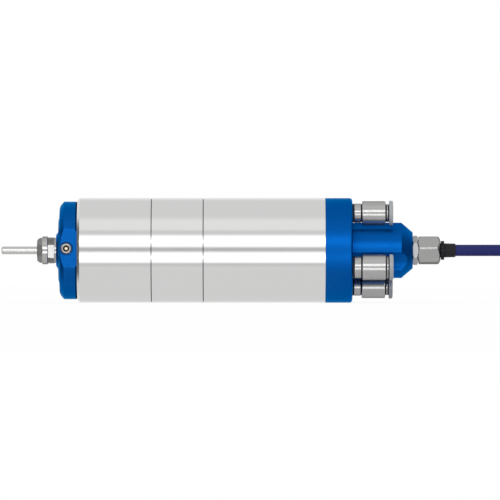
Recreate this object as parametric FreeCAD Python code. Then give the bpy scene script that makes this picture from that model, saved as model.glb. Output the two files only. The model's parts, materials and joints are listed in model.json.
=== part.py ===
import FreeCAD, Part
import math
import os

# Air turbine spindle. Millimetres. X runs along the spindle's axis: the nose points to -X and the
# cord leaves to +X. Z is up. The origin is on the axis, in the middle of the housing's clamping length.
# Angles about the axis are counted from the side that faces -Y, upwards.

# Stainless housing: three turned sections, screwed end to end
housing_radius = 30.0
front_section_length = 42.9
middle_section_length = 29.7
rear_section_length = 69.9
housing_edge = 1.5
seam_edge = 0.2
static_fit = 0.03
face_gap = 0.05

# Front cap
cap_radius = 28.0
cap_relief_depth = 1.1
cap_relief_length = 0.9
cap_rim_length = 6.2
cap_rim_edge_length = 2.1
cap_rim_edge_depth = 2.4
cap_rim_edge_crown = 0.12
cap_brow_rise = 0.5
cap_brow_width = 1.4
cap_step_rise = 0.25
cap_disc_radius = 17.6
cap_disc_edge_rise = 0.43
cap_disc_edge_width = 1.0
cap_disc_rise = 0.27
cap_boss_base_radius = 10.55
cap_boss_radius = 8.9
cap_boss_rise = 1.15
cap_spigot_radius = 20.0
cap_spigot_length = 4.5
cap_cavity_radius = 12.0
cap_cavity_depth = 7.5
cap_flat_depth = 2.1
cap_flat_angle = 2.4
cap_plug_inset = 3.9
cap_plug_radius = 3.0
cap_plug_length = 6.0
cap_plug_recess = 0.5
cap_plug_seat_radius = 3.5
cap_plug_key = 3.5
labyrinth_gap = 0.15
labyrinth_groove_depth = 0.8
labyrinth_groove_width = 1.2
labyrinth_groove_count = 3

# Rotor shaft
shaft_front_radius = 7.0
neck_radius = 7.5
neck_length = 3.5
neck_flats = 13.0
neck_flats_angle = -5.6
neck_ring_length = 0.9
neck_ring_radius = 7.2
nose_gap = 0.3
nose_thread_radius = 6.4
nose_thread_length = 2.9
slinger_radius = 10.0
slinger_length = 3.0
journal_radius = 11.0
bearing_gap = 0.03
journal_end_gap = 1.0
lip_clearance = 2.0
lip_length = 4.0
bush_radius = 16.0
rear_bush_length = 31.0
air_groove_depth = 0.8
air_groove_length = 8.0
feed_hole_radius = 0.5
feed_hole_count = 6

# Thrust bearing
thrust_flange_radius = 19.5
thrust_flange_length = 6.0
thrust_plate_length = 7.0
thrust_bore_clearance = 0.3
thrust_gap = 0.03
thrust_chamber_radius = 22.0
spacer_wall = 1.6

# Turbine
chamber_radius = 22.5
wheel_radius = 16.0
wheel_tip_gap = 0.2
wheel_seat_radius = 7.0
wheel_hub_radius = 9.2
wheel_disc_length = 2.2
blade_length = 7.0
blade_root_radius = 10.4
blade_count = 18
blade_lean = 10.0
blade_bow = 15.0
blade_thickness = 0.9
nozzle_count = 8
nozzle_radius = 1.2
nozzle_offset = 13.6
nozzle_front_length = 2.0
plenum_depth = 1.5
plenum_length = 5.0
wheel_end_gap = 0.5
lock_nut_flats = 14.0
lock_nut_length = 5.0
lock_thread_radius = 6.0
exhaust_plate_length = 3.0
exhaust_plate_bore = 9.5
exhaust_hole_count = 8
exhaust_hole_radius = 2.0
exhaust_hole_pitch = 14.5
sleeve_wall = 2.5
tail_radius = 4.0
speed_disc_radius = 6.5
speed_disc_length = 2.5
speed_notch_width = 2.4
tail_stub = 0.5

# Rear cap
ring_length = 15.5
ring_edge = 1.6
hub_radius = 15.9
hub_straight_length = 28.1
hub_cone_length = 6.5
hub_end_radius = 10.4
scallop_radius = 9.7
rear_spigot_length = 4.5
rear_cavity_radius = 20.0
rear_cavity_depth = 7.0
rear_boss_radius = 9.5
vent_count = 3
vent_radius = 2.0
vent_pitch = 18.6
vent_angle = 157.0
vent_spread = 17.0
silencer_length = 4.0
lead_bore_radius = 4.5

# Speed sensor
holder_radius = 6.0
sensor_radius = 4.0
sensor_length = 25.0
sensor_gap = 0.9
holder_length = 24.0
holder_flange_radius = 8.0
holder_flange_length = 1.5

# Push-in fittings, and below them each one's angle, its radii, its air way's radius and how far inside
# the housing's outside that lies
fitting_inset = 7.2
port_thread_radius = 4.8
port_depth = 6.0
port_hole_radius = 2.0
gasket_length = 0.9
fitting_neck_length = 3.9
fitting_groove_length = 0.7
fitting_groove_depth = 0.6
fitting_body_length = 13.5
fitting_edge = 0.7
guide_length = 0.5
guide_inset = 2.0
collar_gap = 1.5
collar_flange_length = 2.3
collar_wall = 0.9
collar_reach = 5.0
collar_tip_gap = 1.6
tube_clearance = 0.05
tube_seat_length = 7.0
cartridge_wall = 1.9
grab_ring_length = 0.4
tube_seal_length = 1.6
air_bore_share = 0.7
supply_fittings = {
    "bearing_air": {"angle": 69.5, "body": 6.85, "neck": 5.45, "collar": 7.1, "tube": 3.0,
                    "way": 1.2, "inset": 4.8},
    "drive_air": {"angle": -25.0, "body": 7.3, "neck": 6.2, "collar": 7.4, "tube": 4.0,
                  "way": 1.8, "inset": 4.0},
    "purge_air": {"angle": -115.4, "body": 6.85, "neck": 5.45, "collar": 7.1, "tube": 3.0,
                  "way": 1.2, "inset": 4.8},
}

# Screws
screw_clearance = 0.1
m3_radius = 1.5
m3_head_radius = 2.75
m3_head_length = 3.0
m3_key = 2.5
head_clearance = 0.2
cap_screw_inset = 5.0
cap_screw_angle = 22.5
cap_screw_grip = 6.0
cap_screw_bite = 6.0
tie_screw_inset = 5.0
tie_screw_angle = 45.0
tie_screw_bite = 12.0
tie_head_depth = 0.5
rear_screw_inset = 4.5
rear_screw_angle = 21.5
rear_screw_bite = 9.0
rear_head_depth = 0.5
screw_count = 4

# Seals, drawn squeezed into their grooves
seal_width = 1.8
seal_depth = 1.3
seam_spigot_length = 4.0

# Cable gland and cord
cord_radius = 3.25
cord_clearance = 0.05
gland_thread_radius = 6.0
gland_thread_length = 9.6
gland_base_flats = 14.6
gland_base_length = 3.1
gland_nut_gap = 0.3
gland_nut_flats = 15.0
gland_nut_length = 12.5
gland_nut_dome = 2.4
gland_nut_dome_crown = 0.6
gland_nut_corner_angle = 9.0
gland_seal_width = 1.2
gland_seal_length = 0.9
gland_nut_end_wall = 2.5
gland_nut_face_radius = 5.3
gland_stem_radius = 5.9
gland_stem_length = 8.0
bush_outer_radius = 4.9
bush_flange_radius = 5.4
bush_flange_gap = 0.3
bush_flange_length = 1.9
bush_notch_count = 14
bush_notch_width = 0.5
bush_notch_depth = 0.6
bush_sleeve_radius = 4.05
bush_end_radius = 3.9
bush_sleeve_length = 6.5

# Collet nut, collet and tool
nut_length = 6.1
nut_collar_radius = 8.0
nut_collar_length = 3.2
nut_flats = 12.5
nut_flats_angle = 1.0
nut_face_radius = 6.1
nut_nose_length = 3.45
nut_nose_crown = 0.1
nut_mouth_radius = 4.7
thread_clearance = 0.06
collet_recess = 0.2
collet_face_radius = 4.3
collet_max_radius = 5.6
collet_nose_angle = 30.0
collet_taper_angle = 8.0
collet_length = 18.0
collet_slot_width = 0.5
collet_slot_count = 6
collet_slot_land = 3.0
collet_gap = 0.03
tool_radius = 2.0
tool_fit = 0.02
tool_reach = 20.4
tool_grip = 20.0
tool_edge = 0.4
tool_pin_radius = 2.25
tool_pin_gap = 0.3
tool_bore_radius = 3.0
tool_bore_length = 8.0

# Far end of the cord, put away as a hank on the surface under the housing
floor_z = -housing_radius
lead_route = [(0, 0, 0), (50.8, 0, 0), (97.8, 0, -26.2), (150.8, 26, -26.2), (184.8, 26, -26.2)]
tail_route = [(163.8, 19.2, -26.2), (183.8, 19.2, -26.2), (204.8, 8.5, -25), (219.8, 7.6, -23)]
hank_start = 144.8
hank_straight = 76.0
hank_inner_bend = 19.5
hank_columns = 2
hank_layers = 3
tie_wall = 0.55
tie_width = 6.0
tie_place = 26.0
arc_share = 0.45
plug_offset = (217.0, 7.5, -23.0)
plug_body_radius = 6.2
plug_relief_radius = 4.4
plug_relief_length = 9.0
plug_body_length = 26.0
plug_core_radius = 5.0
plug_core_length = 12.0
plug_ring_radius = 6.95
plug_ring_length = 10.0
plug_ring_gap = 0.3
plug_ring_clearance = 0.05
plug_shell_wall = 0.8
plug_cup_depth = 7.0
pin_radius = 0.5
pin_pitch = 2.4
pin_length = 5.0
pin_count = 4

# Stations along the axis that follow from the sizes above
ORIGIN = FreeCAD.Vector(0, 0, 0)
ALONG = FreeCAD.Vector(1, 0, 0)
clamp_length = front_section_length + middle_section_length + rear_section_length - housing_edge
rear_x = clamp_length / 2
front_x = -clamp_length / 2 - housing_edge
front_seam_x = front_x + front_section_length
rear_seam_x = front_seam_x + middle_section_length
cap_rim_back_x = front_x - cap_relief_length
cap_rim_front_x = cap_rim_back_x - cap_rim_length
cap_face_x = cap_rim_front_x - cap_rim_edge_length
cap_brow_x = cap_face_x - cap_brow_rise
cap_step_x = cap_brow_x - cap_step_rise
cap_disc_x = cap_step_x - cap_disc_edge_rise
cap_boss_base_x = cap_disc_x - cap_disc_rise
cap_front_x = cap_boss_base_x - cap_boss_rise
cap_spigot_x = front_x + cap_spigot_length
neck_back_x = cap_front_x - nose_gap - neck_ring_length
neck_front_x = neck_back_x - neck_length
nut_back_x = neck_front_x - face_gap
nut_front_x = nut_back_x - nut_length
front_bush_x = cap_spigot_x + face_gap
front_bush_end_x = front_seam_x - lip_length
journal_x = cap_spigot_x + journal_end_gap
thrust_front_x = front_seam_x + seam_spigot_length + face_gap
flange_x = thrust_front_x + thrust_plate_length + thrust_gap
flange_end_x = flange_x + thrust_flange_length
thrust_rear_x = flange_end_x + thrust_gap
thrust_end_x = thrust_rear_x + thrust_plate_length
rear_bush_x = rear_seam_x
rear_bush_end_x = rear_bush_x + rear_bush_length
wheel_x = rear_bush_end_x + nozzle_front_length
wheel_end_x = wheel_x + wheel_disc_length + blade_length
nozzle_end_x = wheel_end_x + wheel_end_gap
exhaust_plate_end_x = nozzle_end_x + exhaust_plate_length
lock_nut_end_x = wheel_end_x + lock_nut_length
speed_disc_x = lock_nut_end_x + tail_stub
tail_end_x = speed_disc_x + speed_disc_length
sensor_x = tail_end_x + sensor_gap
sensor_end_x = sensor_x + sensor_length
ring_end_x = rear_x + ring_length
cone_x = ring_end_x + hub_straight_length
hub_end_x = cone_x + hub_cone_length
spigot_front_x = rear_x - rear_spigot_length
cavity_end_x = rear_x + rear_cavity_depth
gland_nut_x = hub_end_x + gland_base_length + gland_nut_gap
gland_nut_end_x = gland_nut_x + gland_nut_length
bush_flange_x = gland_nut_end_x + bush_flange_gap
bush_flange_end_x = bush_flange_x + bush_flange_length
cord_x = bush_flange_end_x + bush_sleeve_length
port_x = ring_end_x - port_depth
fitting_neck_x = ring_end_x + gasket_length
fitting_body_x = fitting_neck_x + fitting_neck_length + fitting_groove_length
fitting_end_x = fitting_body_x + fitting_body_length
collar_flange_x = fitting_end_x + guide_length + collar_gap
collar_end_x = collar_flange_x + collar_flange_length
cord_outer_radius = cord_radius + cord_clearance

# Radii that follow from the sizes above
cap_relief_radius = cap_radius - cap_relief_depth
cap_face_radius = cap_radius - cap_rim_edge_depth
cap_flat_distance = cap_radius - cap_flat_depth
cap_screw_pitch = cap_radius - cap_screw_inset
tie_screw_pitch = housing_radius - tie_screw_inset
rear_screw_pitch = housing_radius - rear_screw_inset
fitting_pitch = housing_radius - fitting_inset

# Half the angle that one side of a hexagon takes up
half_side_angle = 30.0


def around(radius, angle):
    """The offset from the axis of a point at this radius and angle."""
    turn = math.radians(angle)
    return FreeCAD.Vector(0, -radius * math.cos(turn), radius * math.sin(turn))


def spaced(count, start):
    """Evenly spaced angles round the axis."""
    return [start + 360.0 * number / count for number in range(count)]


def turned(outline, crowned=None, crown=0.0):
    """A solid turned about the axis from its (x, radius) corners.

    The side that leaves the corner with the number crowned swells outwards by the size crown.
    """
    corners = [FreeCAD.Vector(x, radius, 0) for x, radius in outline]
    sides = []
    for number, (corner, after) in enumerate(zip(corners, corners[1:] + corners[:1])):
        if number == crowned:
            side = after - corner
            out = FreeCAD.Vector(-side.y, side.x, 0).normalize()
            middle = (corner + after) / 2 + out * crown
            sides.append(Part.Arc(corner, middle, after).toShape())
        else:
            sides.append(Part.makeLine(corner, after))
    return Part.Face(Part.Wire(sides)).revolve(ORIGIN, ALONG, 360)


def rod(x, end_x, radius, centre=ORIGIN):
    """A round bar along the axis, or beside it."""
    base = FreeCAD.Vector(x, centre.y, centre.z)
    return Part.makeCylinder(radius, end_x - x, base, ALONG)


def sleeve(x, end_x, radius, bore, centre=ORIGIN):
    """A plain ring along the axis, or beside it."""
    return rod(x, end_x, radius, centre).cut(rod(x, end_x, bore, centre))


def hexagon(x, end_x, flats, corner_angle=half_side_angle):
    """A six-sided bar with one corner turned this many degrees up from the side that faces -Y."""
    corner_radius = flats / math.sqrt(3)
    corners = []
    for angle in spaced(6, corner_angle):
        corners.append(FreeCAD.Vector(x, 0, 0) + around(corner_radius, angle))
    wire = Part.makePolygon(corners + corners[:1])
    return Part.Face(wire).extrude(FreeCAD.Vector(end_x - x, 0, 0))


def radial_bore(x, angle, inner, outer, radius):
    """A drilled hole that points at the axis."""
    start = FreeCAD.Vector(x, 0, 0) + around(inner, angle)
    return Part.makeCylinder(radius, outer - inner, start, around(1, angle))


def round_rim(shape, x, radius, size):
    """The shape with the circular edge at this place rounded."""
    rims = []
    for edge in shape.Edges:
        curve = edge.Curve
        if isinstance(curve, Part.Circle) and abs(curve.Radius - radius) < size / 10:
            if abs(curve.Center.x - x) < size / 10:
                rims.append(edge)
    return shape.makeFillet(size, rims)


def joined(pieces):
    """Separate solids kept together as one group."""
    return Part.makeCompound(pieces)


def socket_screw(seat_x, way, centre, shank_length):
    """A cap screw along the axis. way is 1 where its head points to +X, and -1 to -X."""
    head = rod(0, m3_head_length, m3_head_radius)
    shank = rod(-shank_length, 0, m3_radius)
    key = hexagon(m3_head_length / 2, m3_head_length, m3_key)
    screw = head.fuse(shank).cut(key).removeSplitter()
    if way < 0:
        screw.rotate(ORIGIN, FreeCAD.Vector(0, 0, 1), 180)
    screw.translate(FreeCAD.Vector(seat_x, centre.y, centre.z))
    return screw


def screw_hole(seat_x, way, centre, mouth_x, end_x):
    """The hole and counterbore that a cap screw needs, from its mouth to the end of its hole."""
    hole = rod(min(seat_x, end_x), max(seat_x, end_x), m3_radius + screw_clearance, centre)
    pocket = rod(min(seat_x, mouth_x), max(seat_x, mouth_x), m3_head_radius + head_clearance, centre)
    return hole.fuse(pocket)


def seal(x, outer):
    """A seal in a groove that opens outwards."""
    return sleeve(x, x + seal_width, outer, outer - seal_depth)


def seal_groove(x, outer):
    """The groove of such a seal."""
    return sleeve(x - face_gap, x + seal_width + face_gap, outer + seal_depth, outer - seal_depth - face_gap)


def way_pitch(fitting):
    return housing_radius - fitting["inset"]


def passage(fitting, x, end_x):
    """The air way drilled along the housing wall for one of the fittings."""
    return rod(x, end_x, fitting["way"], around(way_pitch(fitting), fitting["angle"]))


def cross_drill(fitting, x, inner):
    """The drilled hole that joins an air way to a space nearer the axis."""
    return radial_bore(x, fitting["angle"], inner, way_pitch(fitting), fitting["way"])


def tie_centres():
    return [around(tie_screw_pitch, angle) for angle in spaced(screw_count, tie_screw_angle)]


def cap_screw_centres():
    return [around(cap_screw_pitch, angle) for angle in spaced(screw_count, cap_screw_angle)]


def rear_screw_centres():
    return [around(rear_screw_pitch, angle) for angle in spaced(screw_count, rear_screw_angle)]


cap_screw_seat_x = front_x - cap_screw_grip
tie_seat_x = front_x + m3_head_length + tie_head_depth
tie_end_x = rear_seam_x + tie_screw_bite
rear_screw_seat_x = ring_end_x - m3_head_length - rear_head_depth
cap_plug_x = cap_face_x + cap_plug_inset
bearing_air = supply_fittings["bearing_air"]
drive_air = supply_fittings["drive_air"]
purge_air = supply_fittings["purge_air"]
front_feed_x = (front_bush_x + front_bush_end_x) / 2
rear_feed_x = (rear_bush_x + rear_bush_end_x) / 2
plenum_x = wheel_x + wheel_disc_length + (blade_length - plenum_length) / 2
cap_seal_x = front_x + (cap_spigot_length - seal_width) / 2
rear_seal_x = spigot_front_x + (rear_spigot_length - seal_width) / 2
purge_drill_x = front_x - cap_relief_length - 2 * purge_air["way"]
collet_face_x = nut_front_x + collet_recess
collet_nose_length = (collet_max_radius - collet_face_radius) / math.tan(math.radians(collet_nose_angle))
collet_shoulder_x = collet_face_x + collet_nose_length
collet_end_x = collet_face_x + collet_length
taper = math.tan(math.radians(collet_taper_angle))
collet_end_radius = collet_max_radius - (collet_end_x - collet_shoulder_x) * taper
tool_end_x = nut_front_x + tool_grip


def front_cap():
    bore = shaft_front_radius + labyrinth_gap
    cavity_x = front_x - cap_cavity_depth + cap_spigot_length
    body = turned([
        (cap_face_x, cap_face_radius),
        (cap_rim_front_x, cap_radius),
        (cap_rim_back_x, cap_radius),
        (cap_rim_back_x, cap_relief_radius),
        (front_x, cap_relief_radius),
        (front_x, cap_spigot_radius),
        (cap_spigot_x, cap_spigot_radius),
        (cap_spigot_x, cap_cavity_radius),
        (cavity_x, cap_cavity_radius),
        (cavity_x, bore),
        (cap_front_x, bore),
        (cap_front_x, cap_boss_radius),
        (cap_boss_base_x, cap_boss_base_radius),
        (cap_disc_x, cap_disc_radius),
        (cap_step_x, cap_disc_radius + cap_disc_edge_width),
        (cap_brow_x, cap_face_radius - cap_brow_width),
    ], 0, cap_rim_edge_crown)
    land = (cavity_x - cap_front_x) / (labyrinth_groove_count + 1)
    for number in range(labyrinth_groove_count):
        groove_x = cap_front_x + (number + 1) * land - labyrinth_groove_width / 2
        body = body.cut(rod(groove_x, groove_x + labyrinth_groove_width, bore + labyrinth_groove_depth))
    body = body.cut(cap_flat_cutter())
    body = body.cut(seal_groove(cap_seal_x, cap_spigot_radius))
    for centre in cap_screw_centres():
        body = body.cut(screw_hole(cap_screw_seat_x, -1, centre, cap_front_x, front_x))
    inner = cap_flat_distance - cap_plug_recess - cap_plug_length
    body = body.cut(radial_bore(cap_plug_x, cap_flat_angle, inner, cap_radius, cap_plug_radius + static_fit))
    rim = cap_flat_distance - cap_plug_recess
    body = body.cut(radial_bore(cap_plug_x, cap_flat_angle, rim, cap_radius, cap_plug_seat_radius))
    body = body.cut(cross_drill(purge_air, purge_drill_x, cap_cavity_radius - 1))
    return body.cut(passage(purge_air, purge_drill_x, front_x))


def cap_flat_cutter():
    """What the flat takes off the cap, from its face to the housing."""
    depth = cap_radius - cap_flat_distance + 1
    corner = FreeCAD.Vector(cap_face_x - 1, -cap_flat_distance - depth, -cap_radius)
    cutter = Part.makeBox(front_x - cap_face_x + 1, depth, 2 * cap_radius, corner)
    cutter.rotate(ORIGIN, ALONG, -cap_flat_angle)
    return cutter


def cap_plug():
    """The socket screw that closes the hole in the cap's flat."""
    outer = cap_flat_distance - cap_plug_recess
    screw = radial_bore(cap_plug_x, cap_flat_angle, outer - cap_plug_length, outer, cap_plug_radius)
    socket = hexagon(0, cap_plug_length / 2, cap_plug_key)
    socket.rotate(ORIGIN, FreeCAD.Vector(0, 0, 1), -90)
    socket.rotate(ORIGIN, ALONG, -cap_flat_angle)
    socket.translate(FreeCAD.Vector(cap_plug_x, 0, 0) + around(outer - cap_plug_length / 2, cap_flat_angle))
    return screw.cut(socket)


def cap_screws():
    length = cap_screw_grip + cap_screw_bite
    return joined([socket_screw(cap_screw_seat_x, -1, centre, length) for centre in cap_screw_centres()])


def drill_for_ties(body, x, end_x):
    for centre in tie_centres():
        body = body.cut(rod(x, end_x, m3_radius + screw_clearance, centre))
    return body


def front_housing():
    body = turned([
        (front_x, cap_spigot_radius + static_fit),
        (front_x, housing_radius - housing_edge),
        (front_x + housing_edge, housing_radius),
        (front_seam_x - seam_edge, housing_radius),
        (front_seam_x, housing_radius - seam_edge),
        (front_seam_x, journal_radius + lip_clearance),
        (front_bush_end_x, journal_radius + lip_clearance),
        (front_bush_end_x, bush_radius + static_fit),
        (cap_spigot_x, bush_radius + static_fit),
        (cap_spigot_x, cap_spigot_radius + static_fit),
    ])
    spigot = sleeve(front_seam_x, front_seam_x + seam_spigot_length, thrust_chamber_radius - static_fit,
                    journal_radius + lip_clearance)
    body = body.fuse(spigot.cut(seal_groove(seam_seal_x(front_seam_x), thrust_chamber_radius - static_fit)))
    for centre in tie_centres():
        body = body.cut(screw_hole(tie_seat_x, -1, centre, front_x, front_seam_x))
    for centre in cap_screw_centres():
        body = body.cut(rod(front_x, front_x + cap_screw_bite + 1, m3_radius + static_fit, centre))
    body = body.cut(passage(purge_air, front_x, front_seam_x))
    body = body.cut(passage(bearing_air, front_feed_x, front_seam_x))
    return body.cut(cross_drill(bearing_air, front_feed_x, bush_radius)).removeSplitter()


def seam_seal_x(seam_x):
    return seam_x + (seam_spigot_length - seal_width) / 2


def middle_housing():
    body = turned([
        (front_seam_x, thrust_chamber_radius),
        (front_seam_x, housing_radius - seam_edge),
        (front_seam_x + seam_edge, housing_radius),
        (rear_seam_x - seam_edge, housing_radius),
        (rear_seam_x, housing_radius - seam_edge),
        (rear_seam_x, thrust_chamber_radius),
    ])
    body = drill_for_ties(body, front_seam_x, rear_seam_x)
    for fitting in (bearing_air, purge_air):
        body = body.cut(passage(fitting, front_seam_x, rear_seam_x))
    return body


def rear_housing():
    seat = chamber_radius + static_fit
    spigot_x = thrust_end_x + face_gap
    body = turned([
        (rear_seam_x, thrust_chamber_radius),
        (rear_seam_x, housing_radius - seam_edge),
        (rear_seam_x + seam_edge, housing_radius),
        (rear_x, housing_radius),
        (rear_x, seat),
        (rear_bush_end_x, seat),
        (rear_bush_end_x, bush_radius + static_fit),
        (rear_bush_x, bush_radius + static_fit),
        (rear_bush_x, journal_radius + lip_clearance),
        (spigot_x, journal_radius + lip_clearance),
        (spigot_x, thrust_chamber_radius - static_fit),
        (rear_seam_x, thrust_chamber_radius - static_fit),
    ])
    body = body.cut(seal_groove(seam_seal_x(spigot_x), thrust_chamber_radius - static_fit))
    body = drill_for_ties(body, rear_seam_x, tie_end_x + 1)
    for centre in rear_screw_centres():
        body = body.cut(rod(rear_x - rear_screw_bite - 1, rear_x, m3_radius + static_fit, centre))
    for fitting in (bearing_air, purge_air):
        body = body.cut(passage(fitting, rear_seam_x, rear_x))
    body = body.cut(cross_drill(bearing_air, rear_feed_x, bush_radius))
    drive_x = plenum_x + plenum_length / 2
    body = body.cut(passage(drive_air, drive_x, rear_x))
    return body.cut(cross_drill(drive_air, drive_x, chamber_radius - 1))


def housing_seals():
    outer = thrust_chamber_radius - static_fit
    spigot_x = thrust_end_x + face_gap
    return joined([seal(seam_seal_x(front_seam_x), outer), seal(seam_seal_x(spigot_x), outer)])


def journal_bush(x, end_x, feed_x):
    """A plain air bearing bush: an air groove outside and two rows of fine feed holes through its wall."""
    bush = sleeve(x, end_x, bush_radius, journal_radius + bearing_gap)
    groove = sleeve(feed_x - air_groove_length / 2, feed_x + air_groove_length / 2, bush_radius + 1,
                    bush_radius - air_groove_depth)
    bush = bush.cut(groove)
    for row_x in (feed_x - air_groove_length / 4, feed_x + air_groove_length / 4):
        for angle in spaced(feed_hole_count, 0):
            bush = bush.cut(radial_bore(row_x, angle, journal_radius - 1, bush_radius, feed_hole_radius))
    for seal_x in bush_seal_stations(x, end_x):
        bush = bush.cut(seal_groove(seal_x, bush_radius))
    return bush


def bush_seal_stations(x, end_x):
    inset = (end_x - x) / 8
    return (x + inset, end_x - inset - seal_width)


def bush_seals():
    seals = []
    for x, end_x in ((front_bush_x, front_bush_end_x), (rear_bush_x, rear_bush_end_x)):
        for seal_x in bush_seal_stations(x, end_x):
            seals.append(seal(seal_x, bush_radius))
    return joined(seals)


def thrust_plate(x):
    bore = journal_radius + thrust_bore_clearance
    return sleeve(x, x + thrust_plate_length, thrust_chamber_radius - static_fit, bore)


def thrust_spacer():
    outer = thrust_chamber_radius - static_fit
    return sleeve(flange_x - thrust_gap, thrust_rear_x, outer, outer - spacer_wall)


def tie_screws():
    length = tie_end_x - tie_seat_x
    return joined([socket_screw(tie_seat_x, -1, centre, length) for centre in tie_centres()])


def spindle_shaft():
    """The rotor: nose thread, neck with spanner flats, two journals, thrust flange, turbine seat and tail."""
    slinger_x = journal_x - slinger_length - journal_end_gap
    body = turned([
        (neck_front_x - nose_thread_length, 0),
        (neck_front_x - nose_thread_length, nose_thread_radius),
        (neck_front_x, nose_thread_radius),
        (neck_front_x, neck_radius),
        (neck_back_x, neck_radius),
        (neck_back_x, neck_ring_radius),
        (neck_back_x + neck_ring_length, neck_ring_radius),
        (neck_back_x + neck_ring_length, shaft_front_radius),
        (slinger_x, shaft_front_radius),
        (slinger_x, slinger_radius),
        (slinger_x + slinger_length, slinger_radius),
        (journal_x, shaft_front_radius + 1),
        (journal_x, journal_radius),
        (flange_x, journal_radius),
        (flange_x, thrust_flange_radius),
        (flange_end_x, thrust_flange_radius),
        (flange_end_x, journal_radius),
        (wheel_x, journal_radius),
        (wheel_x, wheel_seat_radius),
        (wheel_end_x, wheel_seat_radius),
        (wheel_end_x, lock_thread_radius),
        (lock_nut_end_x, lock_thread_radius),
        (lock_nut_end_x, tail_radius),
        (tail_end_x, tail_radius),
        (tail_end_x, 0),
    ])
    neck = rod(neck_front_x, neck_back_x, neck_radius + 1)
    slab = Part.makeBox(neck_length, neck_flats, 4 * neck_radius,
                        FreeCAD.Vector(neck_front_x, -neck_flats / 2, -2 * neck_radius))
    slab.rotate(ORIGIN, ALONG, -neck_flats_angle)
    body = body.cut(neck.cut(slab))
    bore = rod(collet_shoulder_x, tool_end_x + tool_bore_length, tool_bore_radius)
    return body.cut(collet_seat()).cut(bore)


def collet_seat():
    """The taper in the shaft's nose, a hair wider than the collet."""
    mouth = collet_max_radius + collet_gap
    length = collet_end_x + 1 - collet_shoulder_x
    return turned([
        (collet_shoulder_x - 1, 0),
        (collet_shoulder_x - 1, mouth + taper),
        (collet_end_x + 1, mouth - length * taper),
        (collet_end_x + 1, 0),
    ])


def collet():
    body = turned([
        (collet_face_x, tool_radius + tool_fit),
        (collet_face_x, collet_face_radius),
        (collet_shoulder_x, collet_max_radius),
        (collet_end_x, collet_end_radius),
        (collet_end_x, tool_radius + tool_fit),
    ])
    half = collet_slot_width / 2
    for number, angle in enumerate(spaced(2 * collet_slot_count, 0)):
        x = collet_face_x if number % 2 == 0 else collet_face_x + collet_slot_land
        length = collet_length - collet_slot_land
        slot = Part.makeBox(length, 2 * collet_max_radius, collet_slot_width, FreeCAD.Vector(x, 0, -half))
        slot.rotate(ORIGIN, ALONG, angle)
        body = body.cut(slot)
    return body


def collet_nut():
    """A short nut: round collar behind, six flats and a rounded nose in front."""
    envelope = turned([
        (nut_front_x, 0),
        (nut_front_x, nut_face_radius),
        (nut_front_x + nut_nose_length, nut_collar_radius),
        (nut_back_x, nut_collar_radius),
        (nut_back_x, 0),
    ], 1, nut_nose_crown)
    corner_angle = half_side_angle + nut_flats_angle
    flats = hexagon(nut_front_x, nut_back_x - nut_collar_length, nut_flats, corner_angle)
    collar = rod(nut_back_x - nut_collar_length, nut_back_x, nut_collar_radius)
    body = envelope.common(flats.fuse(collar))
    thread = nose_thread_radius + thread_clearance
    thread_x = neck_front_x - nose_thread_length - collet_gap
    inner = turned([
        (nut_front_x - 1, 0),
        (nut_front_x - 1, nut_mouth_radius),
        (nut_seat_x(nut_mouth_radius), nut_mouth_radius),
        (nut_seat_x(collet_max_radius + collet_gap), collet_max_radius + collet_gap),
        (thread_x, collet_max_radius + collet_gap),
        (thread_x, thread),
        (neck_front_x + 1, thread),
        (neck_front_x + 1, 0),
    ])
    return round_rim(body.cut(inner), nut_back_x, nut_collar_radius, collet_gap * 10)


def nut_seat_x(radius):
    """Where the nut's cone stands at this radius, a hair in front of the collet's."""
    rise = (radius - collet_face_radius) / math.tan(math.radians(collet_nose_angle))
    return collet_face_x + rise - 2 * collet_gap


def tool_shank():
    """A plain pin on a thinner shank, which the collet grips. Its shoulder stands close to the collet."""
    x = nut_front_x - tool_reach
    shoulder_x = collet_face_x - tool_pin_gap
    return turned([
        (x, 0),
        (x, tool_pin_radius - tool_edge),
        (x + tool_edge, tool_pin_radius),
        (shoulder_x, tool_pin_radius),
        (shoulder_x, tool_radius),
        (tool_end_x - tool_edge, tool_radius),
        (tool_end_x, tool_radius - tool_edge),
        (tool_end_x, 0),
    ])


def turbine_wheel():
    """A bladed disc: curved blades milled out of the solid between the hub and the rim."""
    x = wheel_x + face_gap
    disc = rod(x, wheel_x + wheel_disc_length, wheel_radius)
    hub = rod(x, wheel_end_x, wheel_hub_radius)
    blade_x = wheel_x + wheel_disc_length - face_gap
    blades = [blade(blade_x, angle) for angle in spaced(blade_count, 0)]
    wheel = disc.fuse([hub] + blades)
    return wheel.cut(rod(x, wheel_end_x, wheel_seat_radius + static_fit)).removeSplitter()


def blade(x, angle):
    """One blade: a bucket shape between two arcs that meet at its tip and its root."""
    middle = (wheel_radius + blade_root_radius) / 2
    thick = math.degrees(blade_thickness / middle)
    root_radius = wheel_hub_radius - face_gap
    start = FreeCAD.Vector(x, 0, 0)
    tip = start + around(wheel_radius, angle)
    root = start + around(root_radius, angle - blade_lean)
    tip_back = start + around(wheel_radius, angle - thick / 2)
    root_back = start + around(root_radius, angle - blade_lean - thick)
    hollow = Part.Arc(tip, start + around(middle, angle - blade_bow), root).toShape()
    back = Part.Arc(root_back, start + around(middle, angle - blade_bow - thick), tip_back).toShape()
    outline = Part.Wire([hollow, Part.makeLine(root, root_back), back, Part.makeLine(tip_back, tip)])
    return Part.Face(outline).extrude(FreeCAD.Vector(blade_length + face_gap, 0, 0))


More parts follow.
